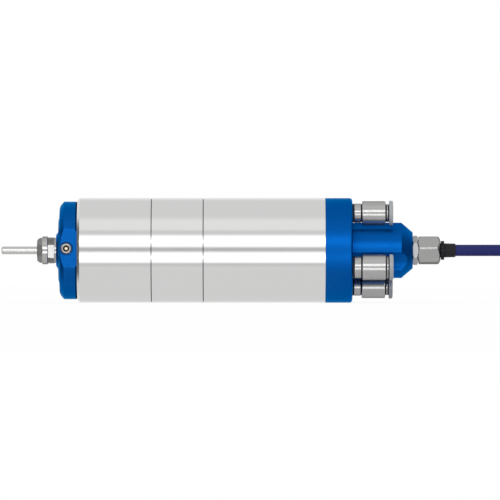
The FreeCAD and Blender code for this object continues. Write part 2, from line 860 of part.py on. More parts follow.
def nozzle_ring():
    """The ring of slanting nozzles round the wheel, fed by a groove on its outside."""
    bore = wheel_radius + wheel_tip_gap
    ring = sleeve(rear_bush_end_x, nozzle_end_x, chamber_radius, bore)
    groove = sleeve(plenum_x, plenum_x + plenum_length, chamber_radius + 1, chamber_radius - plenum_depth)
    ring = ring.cut(groove)
    x = plenum_x + plenum_length / 2
    for angle in spaced(nozzle_count, 0):
        start = FreeCAD.Vector(x, 0, 0) + around(nozzle_offset, angle)
        ring = ring.cut(Part.makeCylinder(nozzle_radius, chamber_radius, start, around(1, angle + 90)))
    return ring


def lock_nut():
    body = hexagon(wheel_end_x, lock_nut_end_x, lock_nut_flats)
    return body.cut(rod(wheel_end_x, lock_nut_end_x, lock_thread_radius + static_fit))


def exhaust_plate():
    plate = sleeve(nozzle_end_x, exhaust_plate_end_x, chamber_radius, exhaust_plate_bore)
    for angle in spaced(exhaust_hole_count, 0):
        centre = around(exhaust_hole_pitch, angle)
        plate = plate.cut(rod(nozzle_end_x, exhaust_plate_end_x, exhaust_hole_radius, centre))
    return plate


def clamp_sleeve():
    end_x = spigot_front_x - face_gap
    return sleeve(exhaust_plate_end_x, end_x, chamber_radius, chamber_radius - sleeve_wall)


def speed_disc():
    disc = sleeve(speed_disc_x, tail_end_x, speed_disc_radius, tail_radius + static_fit)
    notch = Part.makeBox(speed_disc_length, 4 * speed_disc_radius, speed_notch_width,
                         FreeCAD.Vector(speed_disc_x, -2 * speed_disc_radius, -speed_notch_width / 2))
    core = rod(speed_disc_x, tail_end_x, (tail_radius + speed_disc_radius) / 2)
    return disc.cut(notch.cut(core))


def rear_cap():
    """The ring and the scalloped hub, with the exhaust space inside and the three air ports."""
    body = turned([
        (spigot_front_x, rear_boss_radius),
        (spigot_front_x, chamber_radius),
        (rear_x, chamber_radius),
        (rear_x, housing_radius),
        (ring_end_x, housing_radius),
        (ring_end_x, hub_radius),
        (cone_x, hub_radius),
        (hub_end_x, hub_end_radius),
        (hub_end_x, lead_bore_radius),
        (cavity_end_x, lead_bore_radius),
        (cavity_end_x, rear_boss_radius),
    ])
    body = round_rim(body, ring_end_x, housing_radius, ring_edge)
    body = body.cut(sleeve(spigot_front_x, cavity_end_x, rear_cavity_radius, rear_boss_radius))
    body = body.fuse(sleeve(spigot_front_x, cavity_end_x, rear_boss_radius, holder_radius + static_fit))
    holder_end_x = spigot_front_x + holder_length
    body = body.cut(rod(cavity_end_x, holder_end_x, holder_radius + static_fit))
    body = body.cut(seal_groove(rear_seal_x, chamber_radius))
    body = body.cut(rod(hub_end_x - gland_thread_length, hub_end_x, gland_thread_radius + static_fit))
    body = body.cut(rod(hub_end_x - gland_seal_length, hub_end_x, gland_seal_radius() + static_fit))
    for fitting in supply_fittings.values():
        body = cut_port(body, fitting)
    for number in range(vent_count):
        angle = vent_angle + (number - (vent_count - 1) / 2) * vent_spread
        body = body.cut(rod(cavity_end_x, ring_end_x, vent_radius, around(vent_pitch, angle)))
    for centre in rear_screw_centres():
        body = body.cut(screw_hole(rear_screw_seat_x, 1, centre, ring_end_x, rear_x))
    return body.removeSplitter()


def cut_port(body, fitting):
    """A scallop in the hub, and the threaded port with its way to the passage in the housing."""
    centre = around(fitting_pitch, fitting["angle"])
    body = body.cut(rod(ring_end_x, hub_end_x, scallop_radius, centre))
    body = body.cut(rod(port_x, ring_end_x, port_thread_radius + static_fit, centre))
    body = body.cut(rod(rear_x + port_hole_radius, port_x, port_hole_radius, centre))
    return body.cut(passage(fitting, rear_x, rear_x + 2 * port_hole_radius))


def rear_cap_screws():
    length = rear_screw_seat_x - rear_x + rear_screw_bite
    return joined([socket_screw(rear_screw_seat_x, 1, centre, length) for centre in rear_screw_centres()])


def exhaust_silencer():
    outer = rear_cavity_radius - static_fit
    return sleeve(cavity_end_x - silencer_length, cavity_end_x, outer, rear_boss_radius + static_fit)


def sensor_holder():
    end_x = spigot_front_x + holder_length
    tube = sleeve(spigot_front_x - holder_flange_length, end_x, holder_radius, sensor_radius + static_fit)
    flange = sleeve(spigot_front_x - holder_flange_length, spigot_front_x, holder_flange_radius,
                    sensor_radius + static_fit)
    return tube.fuse(flange).removeSplitter()


def speed_sensor():
    body = turned([
        (sensor_x, 0),
        (sensor_x, sensor_radius - tool_edge),
        (sensor_x + tool_edge, sensor_radius),
        (sensor_end_x, sensor_radius),
        (sensor_end_x, 0),
    ])
    return body


def sensor_lead():
    """The stretch of the cord that the hub and the gland hold."""
    return rod(sensor_end_x, cord_x, cord_radius)


def gland_body():
    hexed = hexagon(hub_end_x, hub_end_x + gland_base_length, gland_base_flats)
    corner = gland_base_flats / math.sqrt(3)
    edge = corner - gland_base_flats / 2
    base = hexed.common(turned([
        (hub_end_x, 0),
        (hub_end_x, corner - edge),
        (hub_end_x + edge / 2, corner),
        (hub_end_x + gland_base_length - edge / 2, corner),
        (hub_end_x + gland_base_length, corner - edge),
        (hub_end_x + gland_base_length, 0),
    ]))
    thread = rod(hub_end_x - gland_thread_length, hub_end_x, gland_thread_radius)
    stem = rod(hub_end_x + gland_base_length, gland_nut_x + gland_stem_length, gland_stem_radius)
    body = base.fuse([thread, stem])
    bore = rod(hub_end_x - gland_thread_length, gland_nut_x + gland_stem_length, cord_outer_radius)
    cup = rod(gland_nut_x + gland_stem_length / 4, gland_nut_x + gland_stem_length,
              bush_outer_radius + static_fit)
    return body.cut(bore).cut(cup).removeSplitter()


def gland_seal_radius():
    return gland_thread_radius + static_fit + gland_seal_width


def gland_seal():
    """The ring that seals the gland on the hub, sunk in the mouth of the hub's thread."""
    bore = gland_thread_radius + static_fit
    return sleeve(hub_end_x - gland_seal_length, hub_end_x, gland_seal_radius(), bore)


def gland_nut():
    """Six flats behind, and a domed end that presses on the bush."""
    corner = gland_nut_flats / math.sqrt(3)
    edge = corner - gland_nut_flats / 2
    envelope = turned([
        (gland_nut_end_x, gland_nut_face_radius),
        (gland_nut_end_x, 0),
        (gland_nut_x, 0),
        (gland_nut_x, corner - edge),
        (gland_nut_x + edge / 2, corner),
        (gland_nut_end_x - gland_nut_dome, corner),
    ], 5, gland_nut_dome_crown)
    body = envelope.common(hexagon(gland_nut_x, gland_nut_end_x, gland_nut_flats, gland_nut_corner_angle))
    inside = rod(gland_nut_x, gland_nut_end_x - gland_nut_end_wall, gland_stem_radius + static_fit)
    mouth = rod(gland_nut_x, gland_nut_end_x, bush_sleeve_radius + static_fit)
    return body.cut(inside).cut(mouth)


def gland_bush():
    """The rubber bush: squeezed round the cord in the gland, with a flange and a sleeve outside."""
    inner_x = gland_nut_x + gland_stem_length / 4 + face_gap
    wall_x = gland_nut_end_x - gland_nut_end_wall - face_gap
    bush = turned([
        (inner_x, cord_outer_radius),
        (inner_x, bush_outer_radius),
        (wall_x, bush_outer_radius),
        (wall_x, bush_sleeve_radius),
        (bush_flange_x, bush_sleeve_radius),
        (bush_flange_x, bush_flange_radius),
        (bush_flange_end_x, bush_flange_radius),
        (bush_flange_end_x, bush_sleeve_radius),
        (cord_x, bush_end_radius),
        (cord_x, cord_outer_radius),
    ])
    corner = FreeCAD.Vector(bush_flange_x, -bush_notch_width / 2, bush_flange_radius - bush_notch_depth)
    notch = Part.makeBox(bush_flange_length, bush_notch_width, 2 * bush_notch_depth, corner)
    for angle in spaced(bush_notch_count, 0):
        turned_notch = notch.copy()
        turned_notch.rotate(ORIGIN, ALONG, angle)
        bush = bush.cut(turned_notch)
    return bush


def cartridge_radius(fitting):
    return fitting["tube"] + cartridge_wall


def fitting_body(fitting):
    """A straight push-in fitting: thread, neck, body, and the steps of its bore."""
    centre = around(fitting_pitch, fitting["angle"])
    neck_end_x = fitting_neck_x + fitting_neck_length
    body = turned([
        (port_x, 0),
        (port_x, port_thread_radius),
        (fitting_neck_x, port_thread_radius),
        (fitting_neck_x, fitting["neck"] - fitting_edge / 2),
        (fitting_neck_x + fitting_edge / 2, fitting["neck"]),
        (neck_end_x, fitting["neck"]),
        (neck_end_x, fitting["neck"] - fitting_groove_depth),
        (fitting_body_x, fitting["neck"] - fitting_groove_depth),
        (fitting_body_x, fitting["body"] - fitting_edge),
        (fitting_body_x + fitting_edge, fitting["body"]),
        (fitting_end_x - fitting_edge, fitting["body"]),
        (fitting_end_x, fitting["body"] - fitting_edge),
        (fitting_end_x, 0),
    ])
    tube_bore = fitting["tube"] + tube_clearance
    stop_x = cartridge_x() - tube_seat_length
    body = body.cut(rod(port_x, fitting_end_x, fitting["tube"] * air_bore_share))
    body = body.cut(rod(stop_x, fitting_end_x, tube_bore))
    body = body.cut(rod(cartridge_x(), fitting_end_x, cartridge_radius(fitting) + static_fit))
    body.translate(centre)
    return body


def cartridge_x():
    """Where the wider bore for seal, grab ring and collar begins."""
    return fitting_end_x - collar_reach - collar_tip_gap - grab_ring_length - tube_seal_length


def tube_seals():
    seals = []
    x = cartridge_x()
    for fitting in supply_fittings.values():
        centre = around(fitting_pitch, fitting["angle"])
        bore = fitting["tube"] + tube_clearance / 2
        seals.append(sleeve(x, x + tube_seal_length, cartridge_radius(fitting), bore, centre))
    return joined(seals)


def grab_rings():
    rings = []
    x = cartridge_x() + tube_seal_length
    for fitting in supply_fittings.values():
        centre = around(fitting_pitch, fitting["angle"])
        bore = fitting["tube"] + tube_clearance
        rings.append(sleeve(x, x + grab_ring_length, cartridge_radius(fitting), bore, centre))
    return joined(rings)


def collar_guides():
    """The dark guide in each fitting's mouth, in which the release collar slides."""
    guides = []
    for fitting in supply_fittings.values():
        centre = around(fitting_pitch, fitting["angle"])
        bore = fitting["tube"] + tube_clearance + collar_wall + face_gap
        outer = cartridge_radius(fitting)
        guides.append(sleeve(fitting_end_x - guide_inset, fitting_end_x + guide_length, outer, bore, centre))
    return joined(guides)


def release_collar(fitting):
    """The pale ring that is pushed in to let the tube go."""
    bore = fitting["tube"] + tube_clearance
    stem = bore + collar_wall
    outer = fitting["collar"]
    collar = turned([
        (fitting_end_x - collar_reach, bore),
        (fitting_end_x - collar_reach, stem - collar_wall / 2),
        (fitting_end_x - collar_reach + collar_wall, stem),
        (collar_flange_x, stem),
        (collar_flange_x, outer),
        (collar_end_x - fitting_edge, outer),
        (collar_end_x, outer - fitting_edge),
        (collar_end_x, bore + collar_wall / 2),
        (collar_end_x - collar_wall / 2, bore),
    ])
    collar.translate(around(fitting_pitch, fitting["angle"]))
    return collar


def fitting_gaskets():
    gaskets = []
    for fitting in supply_fittings.values():
        centre = around(fitting_pitch, fitting["angle"])
        gaskets.append(sleeve(ring_end_x, fitting_neck_x, fitting["neck"] - fitting_groove_depth / 2,
                              port_thread_radius + static_fit, centre))
    return joined(gaskets)


def cord_points(route):
    return [FreeCAD.Vector(cord_x + x, y, z) for x, y, z in route]


def cord_tube(name, route):
    """A tube on straight runs joined by tangent arcs, each as large as its two runs allow."""
    points = cord_points(route)
    edges = []
    start = points[0]
    radii = []
    for before, corner, after in zip(points, points[1:], points[2:]):
        into = corner - before
        out = after - corner
        reach = arc_share * min(into.Length, out.Length)
        turn = into.getAngle(out)
        radius = reach / math.tan(turn / 2)
        radii.append(round(radius, 1))
        into.normalize()
        out.normalize()
        first = corner - into * reach
        last = corner + out * reach
        inward = out - into
        inward.normalize()
        middle = corner + inward * (radius / math.cos(turn / 2) - radius)
        edges.append(Part.LineSegment(start, first).toShape())
        edges.append(Part.Arc(first, middle, last).toShape())
        start = last
    edges.append(Part.LineSegment(start, points[-1]).toShape())
    path = Part.Wire(edges)
    way = points[1] - points[0]
    profile = Part.Wire([Part.makeCircle(cord_radius, points[0], way)])
    tube = path.makePipeShell([profile], True, True)
    area = math.pi * cord_radius ** 2
    share = tube.Volume / area / path.Length
    print(name, "radii", radii, "length", round(path.Length, 1), "volume share", round(share, 4))
    return tube


def stadium(x, bend, straight, z, height):
    """A flat solid with two straight sides and two round ends. x is the centre of its first round end."""
    base = FreeCAD.Vector(x, 0, z)
    up = FreeCAD.Vector(0, 0, 1)
    ends = [Part.makeCylinder(bend, height, base + ALONG * shift, up) for shift in (0, straight)]
    middle = Part.makeBox(straight, 2 * bend, height, FreeCAD.Vector(x, -bend, z))
    return middle.fuse(ends).removeSplitter()


hank_width = 2 * cord_radius * hank_columns
hank_height = 2 * cord_radius * hank_layers
hank_outer_bend = hank_inner_bend - cord_radius + hank_width
hank_x = cord_x + hank_start + hank_outer_bend
hank_z = floor_z + tie_wall


def cord_hank():
    """The outer shape of the lead, folded round and round."""
    outer = stadium(hank_x, hank_outer_bend, hank_straight, hank_z, hank_height)
    return outer.cut(stadium(hank_x, hank_inner_bend - cord_radius, hank_straight, hank_z, hank_height))


def hank_ties():
    """A strap round the lead on each side of the hank."""
    ties = []
    inner_y = hank_inner_bend - cord_radius
    x = hank_x + tie_place
    for side in (-1, 1):
        y = inner_y if side > 0 else -hank_outer_bend
        outside = Part.makeBox(tie_width, hank_width + 2 * tie_wall, hank_height + 2 * tie_wall,
                               FreeCAD.Vector(x, y - tie_wall, hank_z - tie_wall))
        inside = Part.makeBox(tie_width, hank_width, hank_height, FreeCAD.Vector(x, y, hank_z))
        ties.append(outside.cut(inside))
    return joined(ties)


plug_x = cord_x + plug_offset[0]
plug_centre = FreeCAD.Vector(0, plug_offset[1], plug_offset[2])
plug_core_x = plug_x + plug_body_length
plug_end_x = plug_core_x + plug_core_length


def plug_body():
    """The round plug: a tapered relief, a body, and a core that carries the coupling ring."""
    relief_end_x = plug_x + plug_relief_length
    body = turned([
        (plug_x, 0),
        (plug_x, plug_relief_radius),
        (relief_end_x, plug_body_radius - plug_shell_wall),
        (relief_end_x, plug_body_radius),
        (plug_core_x, plug_body_radius),
        (plug_core_x, plug_core_radius),
        (plug_end_x, plug_core_radius),
        (plug_end_x, plug_core_radius - plug_shell_wall),
        (plug_end_x - plug_cup_depth, plug_core_radius - plug_shell_wall),
        (plug_end_x - plug_cup_depth, 0),
    ])
    body.translate(plug_centre)
    return body


def plug_ring():
    """The coupling ring, which turns on the plug's core."""
    x = plug_core_x + plug_ring_gap
    bore = plug_core_radius + plug_ring_clearance
    return sleeve(x, x + plug_ring_length, plug_ring_radius, bore, plug_centre)


def plug_pins():
    pins = []
    x = plug_end_x - plug_cup_depth
    for angle in spaced(pin_count, 45):
        pins.append(rod(x, x + pin_length, pin_radius, plug_centre + around(pin_pitch, angle)))
    return joined(pins)


def build():
    """Every piece of the spindle, by name."""
    pieces = {
        "front_cap": front_cap(),
        "cap_plug": cap_plug(),
        "cap_screws": cap_screws(),
        "cap_seal": seal(cap_seal_x, cap_spigot_radius),
        "front_housing": front_housing(),
        "middle_housing": middle_housing(),
        "rear_housing": rear_housing(),
        "housing_seals": housing_seals(),
        "tie_screws": tie_screws(),
        "front_journal_bush": journal_bush(front_bush_x, front_bush_end_x, front_feed_x),
        "rear_journal_bush": journal_bush(rear_bush_x, rear_bush_end_x, rear_feed_x),
        "bush_seals": bush_seals(),
        "front_thrust_plate": thrust_plate(thrust_front_x),
        "rear_thrust_plate": thrust_plate(thrust_rear_x),
        "thrust_spacer": thrust_spacer(),
        "spindle_shaft": spindle_shaft(),
        "turbine_wheel": turbine_wheel(),
        "turbine_lock_nut": lock_nut(),
        "speed_disc": speed_disc(),
        "nozzle_ring": nozzle_ring(),
        "exhaust_plate": exhaust_plate(),
        "clamp_sleeve": clamp_sleeve(),
        "collet": collet(),
        "collet_nut": collet_nut(),
        "tool_shank": tool_shank(),
        "rear_cap": rear_cap(),
        "rear_cap_screws": rear_cap_screws(),
        "rear_cap_seal": seal(rear_seal_x, chamber_radius),
        "exhaust_silencer": exhaust_silencer(),
        "sensor_holder": sensor_holder(),
        "speed_sensor": speed_sensor(),
        "sensor_lead": sensor_lead(),
        "gland_body": gland_body(),
        "gland_seal": gland_seal(),
        "gland_nut": gland_nut(),
        "gland_bush": gland_bush(),
        "fitting_gaskets": fitting_gaskets(),
        "tube_seals": tube_seals(),
        "grab_rings": grab_rings(),
        "collar_guides": collar_guides(),
        "sensor_cord": cord_tube("sensor_cord", lead_route),
        "cord_hank": cord_hank(),
        "hank_ties": hank_ties(),
        "plug_lead": cord_tube("plug_lead", tail_route),
        "plug_body": plug_body(),
        "plug_ring": plug_ring(),
        "plug_pins": plug_pins(),
    }
    for name, fitting in supply_fittings.items():
        pieces[name + "_fitting"] = fitting_body(fitting)
        pieces[name + "_collar"] = release_collar(fitting)
    return pieces


os.makedirs("parts", exist_ok=True)
for node, shape in build().items():
    shape.exportStep("parts/" + node + ".step")
    box = shape.BoundBox
    print(node, len(shape.Solids), "valid" if shape.isValid() else "INVALID",
          [round(v, 2) for v in (box.XMin, box.XMax, box.YMin, box.YMax, box.ZMin, box.ZMax)])
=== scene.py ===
# %% [markdown]
# # Air turbine spindle
#
# A slim spindle that is driven by compressed air: a stainless housing with a blue anodised cap at each
# end, a collet with a plain shank at the nose, three push-in fittings and a cable gland at the rear. The
# construction comes as a fixed frame of CAD pieces. Here each piece that shows is modelled again with its
# small edges and its finish, in the place that the frame gives, and the inner pieces keep their CAD mesh
# and get a metal, bronze or rubber of their own.

# %% The frame
import functools
import json
import math

import bmesh
import bpy
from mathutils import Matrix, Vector


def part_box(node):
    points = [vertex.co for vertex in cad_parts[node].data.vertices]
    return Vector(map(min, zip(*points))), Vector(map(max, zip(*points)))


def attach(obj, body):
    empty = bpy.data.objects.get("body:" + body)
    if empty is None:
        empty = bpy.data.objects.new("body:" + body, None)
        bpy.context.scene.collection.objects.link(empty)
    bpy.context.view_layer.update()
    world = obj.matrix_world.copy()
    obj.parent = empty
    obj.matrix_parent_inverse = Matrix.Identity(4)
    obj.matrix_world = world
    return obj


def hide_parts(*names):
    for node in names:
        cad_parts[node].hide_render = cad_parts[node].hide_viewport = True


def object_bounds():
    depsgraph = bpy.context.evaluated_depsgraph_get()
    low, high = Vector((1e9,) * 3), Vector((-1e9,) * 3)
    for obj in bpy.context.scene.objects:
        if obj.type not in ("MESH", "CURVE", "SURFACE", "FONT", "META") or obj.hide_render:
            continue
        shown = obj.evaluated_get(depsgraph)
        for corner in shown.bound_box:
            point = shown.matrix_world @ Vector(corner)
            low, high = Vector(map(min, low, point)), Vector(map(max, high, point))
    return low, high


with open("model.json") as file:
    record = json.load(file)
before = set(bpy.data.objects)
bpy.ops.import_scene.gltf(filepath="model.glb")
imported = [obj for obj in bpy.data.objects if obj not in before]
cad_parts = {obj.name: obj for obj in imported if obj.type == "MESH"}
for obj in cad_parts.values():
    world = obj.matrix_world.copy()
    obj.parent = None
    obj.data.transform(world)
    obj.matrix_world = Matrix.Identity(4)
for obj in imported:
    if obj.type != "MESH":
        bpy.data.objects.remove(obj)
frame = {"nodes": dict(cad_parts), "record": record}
cad_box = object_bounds()
MM = 0.001


def low(node):
    """The lowest corner of a CAD node, in millimetres."""
    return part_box(node)[0] / MM


def high(node):
    """The highest corner of a CAD node, in millimetres."""
    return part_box(node)[1] / MM


# %% [markdown]
# The photograph is a catalogue view from the side, taken from far away: no edge of the housing converges.
# A camera with a very long lens, five metres off, gives that view.

# %% The camera
CAMERA_X = 27.36 * MM
CAMERA_Z = 0.22 * MM
CAMERA_DISTANCE = 5.0
SENSOR_WIDTH = 36.0
VIEW_WIDTH = 286.8 * MM

camera_data = bpy.data.cameras.new("camera")
camera_data.sensor_width = SENSOR_WIDTH
camera_data.lens = SENSOR_WIDTH * CAMERA_DISTANCE / VIEW_WIDTH
camera_data.clip_end = 30.0
camera = bpy.data.objects.new("camera", camera_data)
camera.location = (CAMERA_X, -CAMERA_DISTANCE, CAMERA_Z)
camera.rotation_euler = (math.radians(90.0), 0.0, 0.0)
bpy.context.scene.collection.objects.link(camera)
bpy.context.scene.camera = camera
bpy.context.scene.view_settings.view_transform = "Standard"
print("lens:", round(camera_data.lens, 1), "mm")

# %% [markdown]
# The sensor's lead leaves the gland straight, falls to the surface and runs on to a hank that lies outside
# the view. It could be a mesh tube swept along the route, but a curve with a round bevel keeps one smooth
# line: a spline of order three passes near each control point and never kinks. The turns of the hank are
# worked out by a loop, because each is the one before it, a cord's width higher or further in.

# %% The cord's route
CORD_RADIUS = 3.25
CORD_X = low("sensor_cord").x
LEAD_ROUTE = [(0, 0, 0), (30, 0, 0), (50.8, 0, 0), (97.8, 0, -26.2), (150.8, 26, -26.2)]
TAIL_ROUTE = [(183.8, 19.2, -26.2), (204.8, 8.5, -25), (219.8, 7.6, -23)]
HANK_STRAIGHT = 76.0
HANK_BENDS = (26.0, 19.5)
HANK_X = 174.05
HANK_LAYERS = (-26.2, -19.7, -13.2)
END_STEPS = 6
SIDE_STEPS = 4
TURN_STEPS = 2 * (SIDE_STEPS + END_STEPS)
# Which bend and which layer each turn lies in, and the step of the turn at which it moves on to the next
HANK_SLOTS = [(0, 0), (0, 1), (0, 2), (1, 2), (1, 1), (1, 0)]
MOVE_STEPS = [14, 14, 11, 5, 5]
MOVE_LENGTH = 3


def hank_station(step, bend):
    """The place of one of a turn's steps: along one side, round the end, back, and round the other end."""
    half, place = divmod(step, SIDE_STEPS + END_STEPS)
    side = 1 if half == 0 else -1
    if place < SIDE_STEPS:
        along = HANK_STRAIGHT * (place + 0.5) / SIDE_STEPS
        return (along if side > 0 else HANK_STRAIGHT - along, side * bend)
    half_step = math.pi / END_STEPS / 2
    angle = math.pi / 2 - (2 * (place - SIDE_STEPS) + 1) * half_step
    reach = bend / math.cos(half_step)
    centre = HANK_STRAIGHT if side > 0 else 0.0
    return (centre + side * reach * math.cos(angle), side * reach * math.sin(angle))


def hank_points():
    """The control points of all the turns, each blended from its slot to the next one over a few steps."""
    points = []
    for move_step, here, there in zip(MOVE_STEPS, HANK_SLOTS, HANK_SLOTS[1:]):
        for step in range(TURN_STEPS):
            share = min(max((step - move_step) / MOVE_LENGTH, 0.0), 1.0)
            bend = HANK_BENDS[here[0]] * (1 - share) + HANK_BENDS[there[0]] * share
            height = HANK_LAYERS[here[1]] * (1 - share) + HANK_LAYERS[there[1]] * share
            x, y = hank_station(step, bend)
            points.append((HANK_X + x, y, height))
    return points


route = LEAD_ROUTE + hank_points() + TAIL_ROUTE
print("cord:", len(route), "control points")

# %% [markdown]
# The curve makes its own round wall from the bevel. Of the two ways to end a spline of this kind, the one
# that reaches its first and last control point is right for a cord, which starts at a given place.

# %% The cord
curve = bpy.data.curves.new("sensor_cable", "CURVE")
curve.dimensions = "3D"
curve.bevel_depth = CORD_RADIUS * MM
curve.bevel_resolution = 8
curve.resolution_u = 6
curve.use_fill_caps = True
spline = curve.splines.new("NURBS")
spline.points.add(len(route) - 1)
for point, (x, y, z) in zip(spline.points, route):
    point.co = ((CORD_X + x) * MM, y * MM, z * MM, 1.0)
spline.order_u = 3
spline.use_endpoint_u = True
cable = bpy.data.objects.new("sensor_cable", curve)
bpy.context.scene.collection.objects.link(cable)
print("cord:", 2 * CORD_RADIUS, "mm thick")

# %% [markdown]
# The room, the floor and every finish are node trees. A tree could be clicked together in the editor, but
# with a few helpers it reads like a formula: one adds a node and fills or links its sockets, and the others
# are sums, smooth steps and mixes.

# %% Node helpers


def fill(tree, node, inputs):
    """Set a node's input sockets to a value, or link them to another node's output."""
    for key, value in inputs.items():
        if isinstance(value, bpy.types.NodeSocket):
            tree.links.new(value, node.inputs[key])
        else:
            node.inputs[key].default_value = value


def add(tree, kind, inputs=None, **settings):
    """A node with its settings made and its input sockets filled."""
    node = tree.nodes.new("ShaderNode" + kind)
    for key, value in settings.items():
        setattr(node, key, value)
    fill(tree, node, inputs or {})
    return node


def maths(tree, operation, *values, kind="Math", output=0):
    """The result of a Math or VectorMath node over values or sockets."""
    return add(tree, kind, dict(enumerate(values)), operation=operation).outputs[output]


vectors = functools.partial(maths, kind="VectorMath")


def smooth_step(tree, value, start, end):
    """0 before start, 1 after end, and a smooth rise between them."""
    inputs = {"Value": value, "From Min": start, "From Max": end}
    return add(tree, "MapRange", inputs, interpolation_type="SMOOTHSTEP").outputs["Result"]


def mixed(tree, share, value, other):
    """From one number to another by a share."""
    return add(tree, "Mix", {"Factor": share, "A": value, "B": other}, data_type="FLOAT").outputs["Result"]

# %% [markdown]
# Metal shows what is around it, so the studio is part of the look. Above and under the lens stand two broad
# bright screens with a dark gap between them, where the camera is, and over them a strip of the ceiling is a
# little brighter. Around them the room is a plain light grey. The world could be a picture of such a room,
# but a ramp over the height of the direction says the same in a few stops. The nose and tail of the spindle
# look into two darker corners of the room. Matt surfaces get four fifths of its light, and only the camera
# itself sees pure white.

# %% The studio
# How bright the room is at each height over the horizon, in degrees
SCREENS = [
    (-90, 0.85), (-42, 0.85), (-39, 0.88), (-34.6, 0.79), (-30.5, 0.70), (-28.6, 0.72), (-27.2, 1.10),
    (-24.5, 1.70), (-18, 2.0), (-10, 1.95), (-6, 1.45), (-3.5, 1.05), (-1.6, 0.80), (-0.2, 0.57), (4, 0.57),
    (5.5, 0.76), (8, 1.10), (11, 1.75), (16, 2.0), (27, 1.95), (31, 1.50), (33, 1.12), (35.5, 0.86),
    (38, 0.78), (41, 0.79), (43.5, 0.84), (90, 0.85),
]
CEILING_START = (44.0, 46.5)
CEILING_END = (66.0, 82.0)
CEILING_LIGHT = 0.17
BACK_WALL = 0.845
BACK_SHARE = 0.10
DIFFUSE_SHARE = 0.80
CORNER_START = (0.74, 0.93)
CORNER_LIGHT = 0.18
FRONT_BLEND = (0.25, -0.25)


def height_ramp(tree, height):
    """The brightness of the screens by height, where the whole ramp is from straight down to straight up."""
    ramp = add(tree, "ValToRGB", {"Fac": maths(tree, "MULTIPLY_ADD", height, 1 / math.pi, 0.5)})
    stops = ramp.color_ramp.elements
    while len(stops) < len(SCREENS):
        stops.new(0.5)
    for stop, (degrees, level) in zip(stops, SCREENS):
        stop.position = (degrees + 90) / 180
        stop.color = (level, level, level, 1.0)
    return ramp.outputs["Color"]


def studio_world():
    """The world, whose light depends on the direction and on the kind of ray."""
    world = bpy.data.worlds.new("studio")
    world.use_nodes = True
    tree = world.node_tree
    tree.nodes.clear()
    direction = add(tree, "TexCoord").outputs["Generated"]
    x, y, z = add(tree, "SeparateXYZ", {0: direction}).outputs
    height = maths(tree, "ARCSINE", z)
    front = smooth_step(tree, y, *FRONT_BLEND)
    share = maths(tree, "MULTIPLY_ADD", front, 1 - BACK_SHARE, BACK_SHARE)
    room = mixed(tree, share, BACK_WALL, height_ramp(tree, height))
    ceiling = maths(tree, "MULTIPLY",
                    smooth_step(tree, height, *map(math.radians, CEILING_START)),
                    smooth_step(tree, height, *map(math.radians, reversed(CEILING_END))))
    ceiling = maths(tree, "MULTIPLY", maths(tree, "MULTIPLY", ceiling, front), CEILING_LIGHT)
    corner = smooth_step(tree, maths(tree, "ABSOLUTE", x), *CORNER_START)
    lit = mixed(tree, corner, maths(tree, "ADD", room, ceiling), CORNER_LIGHT)
    path = add(tree, "LightPath").outputs
    spread = maths(tree, "MULTIPLY_ADD", path["Is Diffuse Ray"], DIFFUSE_SHARE - 1, 1.0)
    strength = mixed(tree, path["Is Camera Ray"], maths(tree, "MULTIPLY", lit, spread), 1.0)
    background = add(tree, "Background", {"Color": (1, 1, 1, 1), "Strength": strength})
    add(tree, "OutputWorld", {"Surface": background.outputs[0]})
    return world


bpy.context.scene.world = studio_world()
print("room:", len(SCREENS), "levels of light")

# %% [markdown]
# Two narrow strip lamps stand in front of the screens, one high and one low. A polished cylinder shows them
# as fine lines, and a duller one spreads them to the soft bright streak that the fittings have along their
# middle. They are area lamps that matt surfaces and the camera don't see, so they add only that streak.

# %% The strip lamps
LAMP_DISTANCE = 1.4
LAMP_LENGTH = 1.6
LAMP_WIDTH = 0.05
# Each lamp's height over the horizon in degrees, and its power in watts
LAMPS = {"upper_strip": (20.0, 1.6), "lower_strip": (-15.0, 1.4)}


def strip_lamp(name, height, watts):
    """A long lamp that stands level and faces the spindle."""
    data = bpy.data.lights.new(name, "AREA")
    data.shape = "RECTANGLE"
    data.size = LAMP_LENGTH
    data.size_y = LAMP_WIDTH
    data.energy = watts
    lamp = bpy.data.objects.new(name, data)
    angle = math.radians(height)
    lamp.location = (CAMERA_X, -LAMP_DISTANCE * math.cos(angle), LAMP_DISTANCE * math.sin(angle))
    lamp.rotation_euler = (math.pi / 2 - angle, 0.0, 0.0)
    lamp.visible_diffuse = False
    lamp.visible_camera = False
    bpy.context.scene.collection.objects.link(lamp)


for lamp_name, levels in LAMPS.items():
    strip_lamp(lamp_name, *levels)
print("lamps:", *LAMPS)

# %% [markdown]
# The floor is a pale plane under the housing. A plain white plane would show grey where the room is dim, so
# for the camera it glows almost white and adds a little of the light that falls on it: the spindle's soft
# shadow stays.

# %% The floor
FLOOR_SIZE = 5.0
FLOOR_WHITE = (0.8, 0.8, 0.8, 1)
FLOOR_GREY = (0.2, 0.2, 0.2, 1)
FLOOR_GLOW = 0.84


def floor_material():
    """White for the room's light, and nearly pure white for the camera."""
    material = bpy.data.materials.new("pale_floor")
    material.use_nodes = True
    tree = material.node_tree
    tree.nodes.clear()
    paint = add(tree, "BsdfDiffuse", {"Color": FLOOR_WHITE})
    shade = add(tree, "BsdfDiffuse", {"Color": FLOOR_GREY})
    glow = add(tree, "Emission", {"Color": (1, 1, 1, 1), "Strength": FLOOR_GLOW})
    seen = add(tree, "AddShader", {0: glow.outputs[0], 1: shade.outputs[0]})
    is_camera = add(tree, "LightPath").outputs["Is Camera Ray"]
    mix = add(tree, "MixShader", {0: is_camera, 1: paint.outputs[0], 2: seen.outputs[0]})
    add(tree, "OutputMaterial", {"Surface": mix.outputs[0]})
    return material


